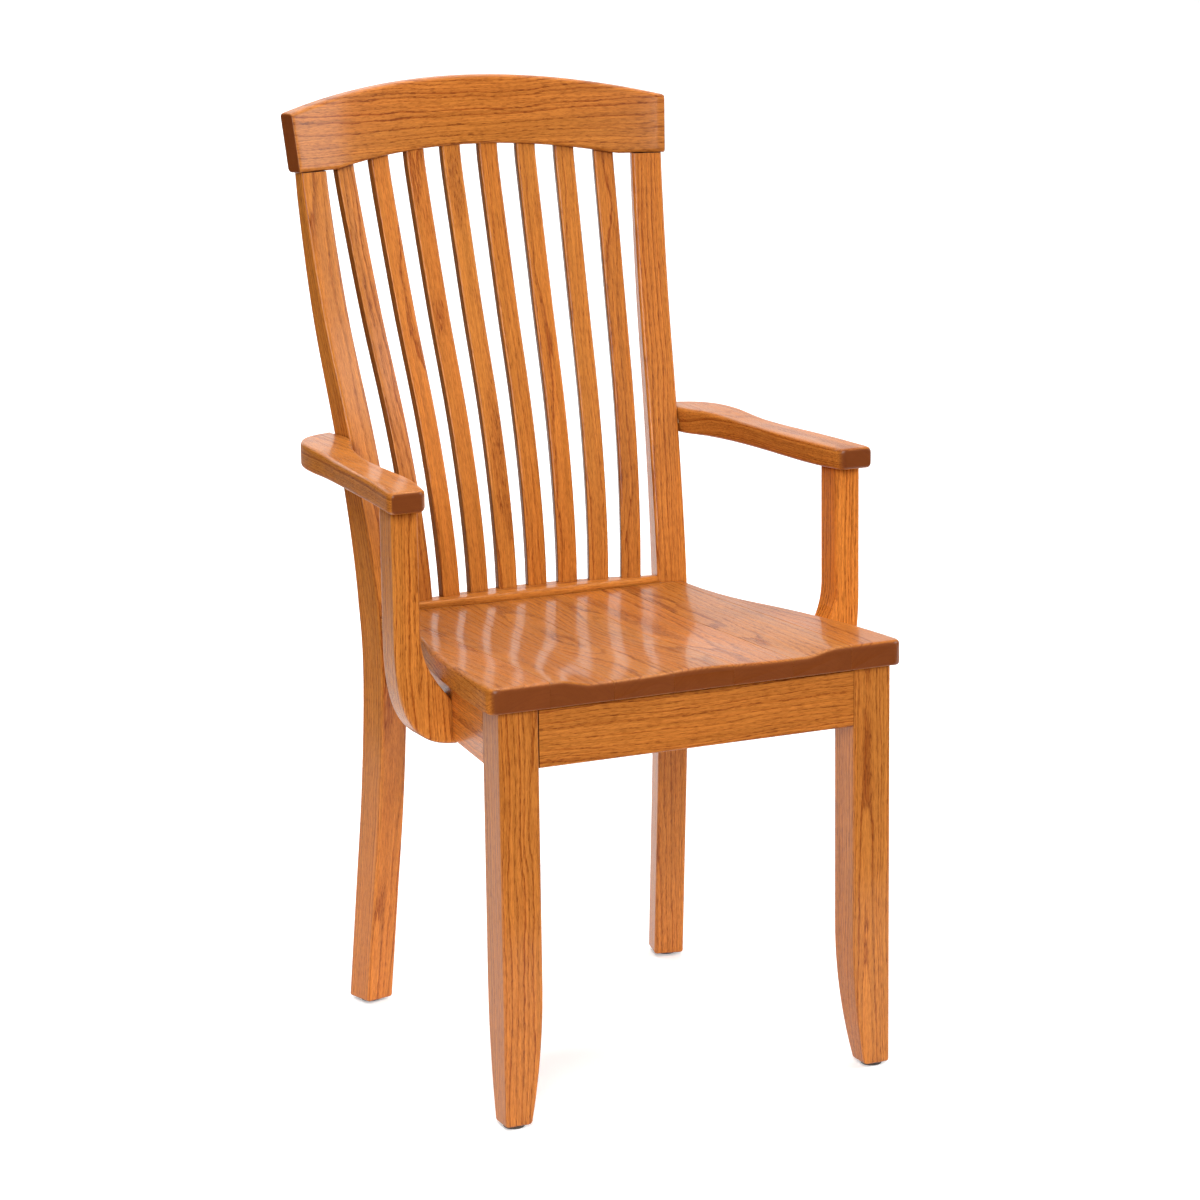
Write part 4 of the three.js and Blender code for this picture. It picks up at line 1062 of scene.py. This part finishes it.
def support_rung(station):
    """The inner and outer point at a station: below 0 is the straight part, 0 to 1 is the sweep."""
    if station >= 0:
        return along_bezier(INNER_PATH, station), along_bezier(OUTER_PATH, station)
    inner, outer = [Vector((x, mix(z, SUPPORT_TOP, -station))) for x, z in (INNER_PATH[0], OUTER_PATH[0])]
    return inner, outer


def support_section(station, inset):
    inner, outer = support_rung(station)
    return rounded_section(0, (outer - inner).length, SUPPORT_FRONT, SUPPORT_FRONT + SUPPORT_DEPTH, 3.2)


def on_support(out, y, station):
    inner, outer = support_rung(station)
    point = inner + (outer - inner).normalized() * out
    return (point.x, y, point.y)


def in_support_board(x, y, z):
    return (z, x - 240, y - 166)


support_stations = [(float(s), 0.0) for s in [*np.linspace(-1, 0, 15)[:-1], *np.linspace(0, 1, 30)]]
for name, side, pith, tone in (("right", 1, (26, 36), 0.95), ("left", -1, (3, 27), 0.66)):
    piece = stick(f"arm_support_{name}", support_stations, support_section, on_support,
                  pith=pith, tone=tone, side=side, board=(in_support_board, (0, 0, 1)))
    dull_where(piece, 0.9, lambda normal: normal.z > 0.25)
print("support width at the arm:", (support_rung(-1)[1] - support_rung(-1)[0]).length)

# %% [markdown]
# ## Screws
# Under the seat, twelve zinc-plated screws draw the frame together. One screw is turned with a domed head
# and a cross recess, and a rule sets it at each hole, facing the way the hole runs. The leg screws are a
# size larger.

# %% One screw
def worn_recipe(name, tones, marks, dirt, gloss, relief, metallic=0.0):
    """Two tones under fine marks and patches of dirt. marks: (stretch, where they start);
    dirt: (stretch, where it is full, its share, its colour); gloss: clean and dirty roughness."""
    part = Recipe(name)
    own = part.step("ShaderNodeTexCoord").outputs["Object"]
    fine = part.noise(own, marks[0], 3)
    patches = part.noise(own, dirt[0], 2)
    colour = part.blend(part.between(fine, marks[1], 0.7), *tones)
    colour = part.blend(part.between(patches, 0.5, dirt[1], 0, dirt[2]), colour, dirt[3])
    bump = part.step("ShaderNodeBump", {"Strength": relief, "Distance": 0.0002, "Height": fine})
    surface = part.step("ShaderNodeBsdfPrincipled", {
        "Base Color": colour, "Metallic": metallic, "Normal": bump.outputs[0],
        "Roughness": part.between(patches, 0.3, 0.7, *gloss),
    })
    return part.finish(surface)


def screw_blank():
    """A screw along +z: its recess, domed head, shank and point."""
    count = 40

    def cross(angle):
        quarter = (angle + math.pi / 4) % (math.pi / 2) - math.pi / 4
        return min(2.3 / math.cos(quarter), 0.75 / max(abs(math.sin(quarter)), 1e-3))

    levels = [(lambda t: 0.55 * cross(t), 0.2), (cross, -1.9), (lambda t: 2.9, -2.0), (lambda t: 3.9, -1.6),
              (lambda t: 4.7, -0.8), (lambda t: 4.9, -0.2), (lambda t: 4.8, 0.0), (lambda t: 2.0, 0.1),
              (lambda t: 2.0, 26), (lambda t: 0.4, 31)]
    rings = []
    for radius, z in levels:
        turns = [i / count * 2 * math.pi for i in range(count)]
        rings.append([(radius(t) * math.cos(t), radius(t) * math.sin(t), z) for t in turns])
    mesh = skin("screw", rings)
    mesh.transform(Matrix.Translation((0, -FRONT, 0)))
    return mesh


plated = worn_recipe(
    "zinc_plated_steel", tones=((0.52, 0.53, 0.55, 1), (0.68, 0.68, 0.66, 1)), marks=((700, 700, 700), 0.3),
    dirt=((160, 160, 160), 0.75, 0.5, (0.36, 0.33, 0.27, 1)), gloss=(0.28, 0.5), relief=0.2, metallic=1.0,
)
screw = bpy.data.objects.new("screw", screw_blank())
print("screw:", len(screw.data.vertices), "points")

# %% Screws at their holes
def screw_holes():
    """(CAD node, start, direction, size) of every screw on the right side."""
    holes = [("leg_lag_screw_front", (154.3, 59.8, 415), (1, -1, 0), 1.2),
             ("leg_lag_screw_rear", (136.5, 367, 415), (0.6, 0.8, 0), 1.2),
             ("seat_screw_front", (181, 64, 386.7), (0, 0, 1), 0.95),
             ("seat_screw_rear", (150, 371, 386.7), (0, 0, 1), 0.95)]
    inward = Vector((side_run.y, -side_run.x))
    for number in (1, 2):
        x, y = on_side(SUPPORT_FRONT + SUPPORT_DEPTH * number / 3, APRON_THICK)
        holes.append((f"arm_support_screw_{number}", (x, y, 387), (inward.x, inward.y, 0), 0.95))
    return holes


def hole_points():
    """A mesh of bare points, one at each hole, that remember their direction and size."""
    rows = [(f"{node}_{name}", (x * side, y, z), (dx * side, dy, dz), size)
            for node, (x, y, z), (dx, dy, dz), size in screw_holes()
            for name, side in SIDES]
    mesh = bpy.data.meshes.new("screws")
    mesh.from_pydata([(x * MM, FRONT + y * MM, z * MM) for _, (x, y, z), _, _ in rows], [], [])
    keep(mesh, "aim", "FLOAT_VECTOR", [Vector(d).normalized() for _, _, d, _ in rows])
    keep(mesh, "size", "FLOAT", [size for _, _, _, size in rows])
    return mesh, [node for node, _, _, _ in rows]


def screw_rule():
    rule = Rule("screws_in_holes")
    shape = rule.ask("Screw", "NodeSocketObject")
    finish = rule.ask("Finish", "NodeSocketMaterial")
    seed = rule.ask("Seed", "NodeSocketInt")
    aim, size = rule.read("aim", "FLOAT_VECTOR"), rule.read("size")
    spin = rule.step("FunctionNodeRandomValue", {2: 0.0, 3: 1.57, "Seed": seed}, data_type="FLOAT").outputs[1]
    twist = rule.step("ShaderNodeCombineXYZ", {2: spin}).outputs[0]
    turn = rule.step("FunctionNodeAlignRotationToVector", {"Vector": aim}, axis="Z").outputs[0]
    own = rule.step("FunctionNodeEulerToRotation", {0: twist}).outputs[0]
    both = rule.step("FunctionNodeRotateRotation", {0: turn, 1: own}, rotation_space="LOCAL").outputs[0]
    blank = rule.step("GeometryNodeObjectInfo", {"Object": shape}).outputs["Geometry"]
    set_in = rule.step("GeometryNodeInstanceOnPoints", {"Points": rule.start.outputs["Geometry"],
                                                        "Instance": blank, "Rotation": both, "Scale": size})
    real = rule.step("GeometryNodeRealizeInstances", {"Geometry": set_in.outputs[0]})
    return rule.finish(real.outputs[0], finish)


points, screw_nodes = hole_points()
screws = stand("screws", points)
screw_rule().give(screws, {"Screw": screw, "Finish": plated, "Seed": 3})
bake(screws)
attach(screws, "root")
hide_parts(*screw_nodes)
print("screws:", len(screw_nodes), "with", len(screws.data.vertices), "points")

# %% [markdown]
# ## Corner blocks
# A raw block is glued and screwed into each corner of the frame and stiffens it. Nobody sees them from
# above, so they stay unstained and unlacquered, with just their sharp edges taken off.

# %% Corner blocks
BLOCK_LOW, BLOCK_HIGH = 386.9, 424.5


def make_block(node, plan):
    """A prism over a plan, with its edges softened by a bevel."""
    mesh = bpy.data.meshes.new(node)
    points = [(x * MM, FRONT + y * MM, z * MM) for z in (BLOCK_LOW, BLOCK_HIGH) for x, y in plan]
    count = len(plan)
    faces = [tuple(range(count)), tuple(range(count, 2 * count))]
    faces += [(i, (i + 1) % count, (i + 1) % count + count, i + count) for i in range(count)]
    mesh.from_pydata(points, [], faces)
    face_out(mesh)
    piece = place_piece(node, mesh, [node], block_wood)
    bevel = piece.modifiers.new("soft_edges", "BEVEL")
    bevel.width = 1.2 * MM
    bevel.segments = 2


for name, side in SIDES:
    front_plan = [(115.8, 21.3), (176.5, 21.3), (176.5, 43.1), on_side(43.1, 20.3), on_side(100.8, 20.3)]
    rear_plan = [(100, 402.7), on_side(332, 20.3), on_side(402.7, 20.3)]
    make_block(f"corner_block_front_{name}", [(x * side, y) for x, y in front_plan])
    make_block(f"corner_block_rear_{name}", [(x * side, y) for x, y in rear_plan])
for node in [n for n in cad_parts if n.startswith("arm_dowel")]:
    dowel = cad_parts[node]
    dowel.data.materials.clear()
    dowel.data.materials.append(block_wood)
print("blocks and dowels are dressed")

# %% [markdown]
# ## Glides
# A small hard-plastic glide is nailed under each foot, so that the chair slides without scratching the
# floor and the end grain stays dry. Dust and fine scratches dull it in patches.

# %% Glides
def make_glide(node, middle):
    """A low disc with a rounded rim, drawn as rings from its underside up."""
    turns = [i / 48 * 2 * math.pi for i in range(48)]
    profile = [(9.6, 0), (10.3, 0.15), (10.8, 0.6), (11, 1.2), (11, 2.4), (10.8, 2.9), (10.4, 3.1)]
    x, y = middle
    rings = [[(x + r * math.cos(t), y + r * math.sin(t), z) for t in turns] for r, z in profile]
    piece = place_piece(node, skin(node, rings), [node], nylon)


nylon = worn_recipe(
    "dark_nylon", tones=((0.028, 0.02, 0.015, 1), (0.06, 0.046, 0.035, 1)), marks=((260, 260, 900), 0.35),
    dirt=((60, 60, 60), 0.8, 0.35, (0.2, 0.17, 0.14, 1)), gloss=(0.42, 0.68), relief=0.15,
)
leg_middle = (LEG_OUTSIDE - LEG_FOOT / 2, LEG_FOOT / 2)
post_middle = on_post(0, post_depth(0) / 2, 0)
for name, side in SIDES:
    make_glide(f"glide_front_{name}", (leg_middle[0] * side, leg_middle[1]))
    make_glide(f"glide_rear_{name}", (post_middle[0] * side, post_middle[1]))
print("four glides")
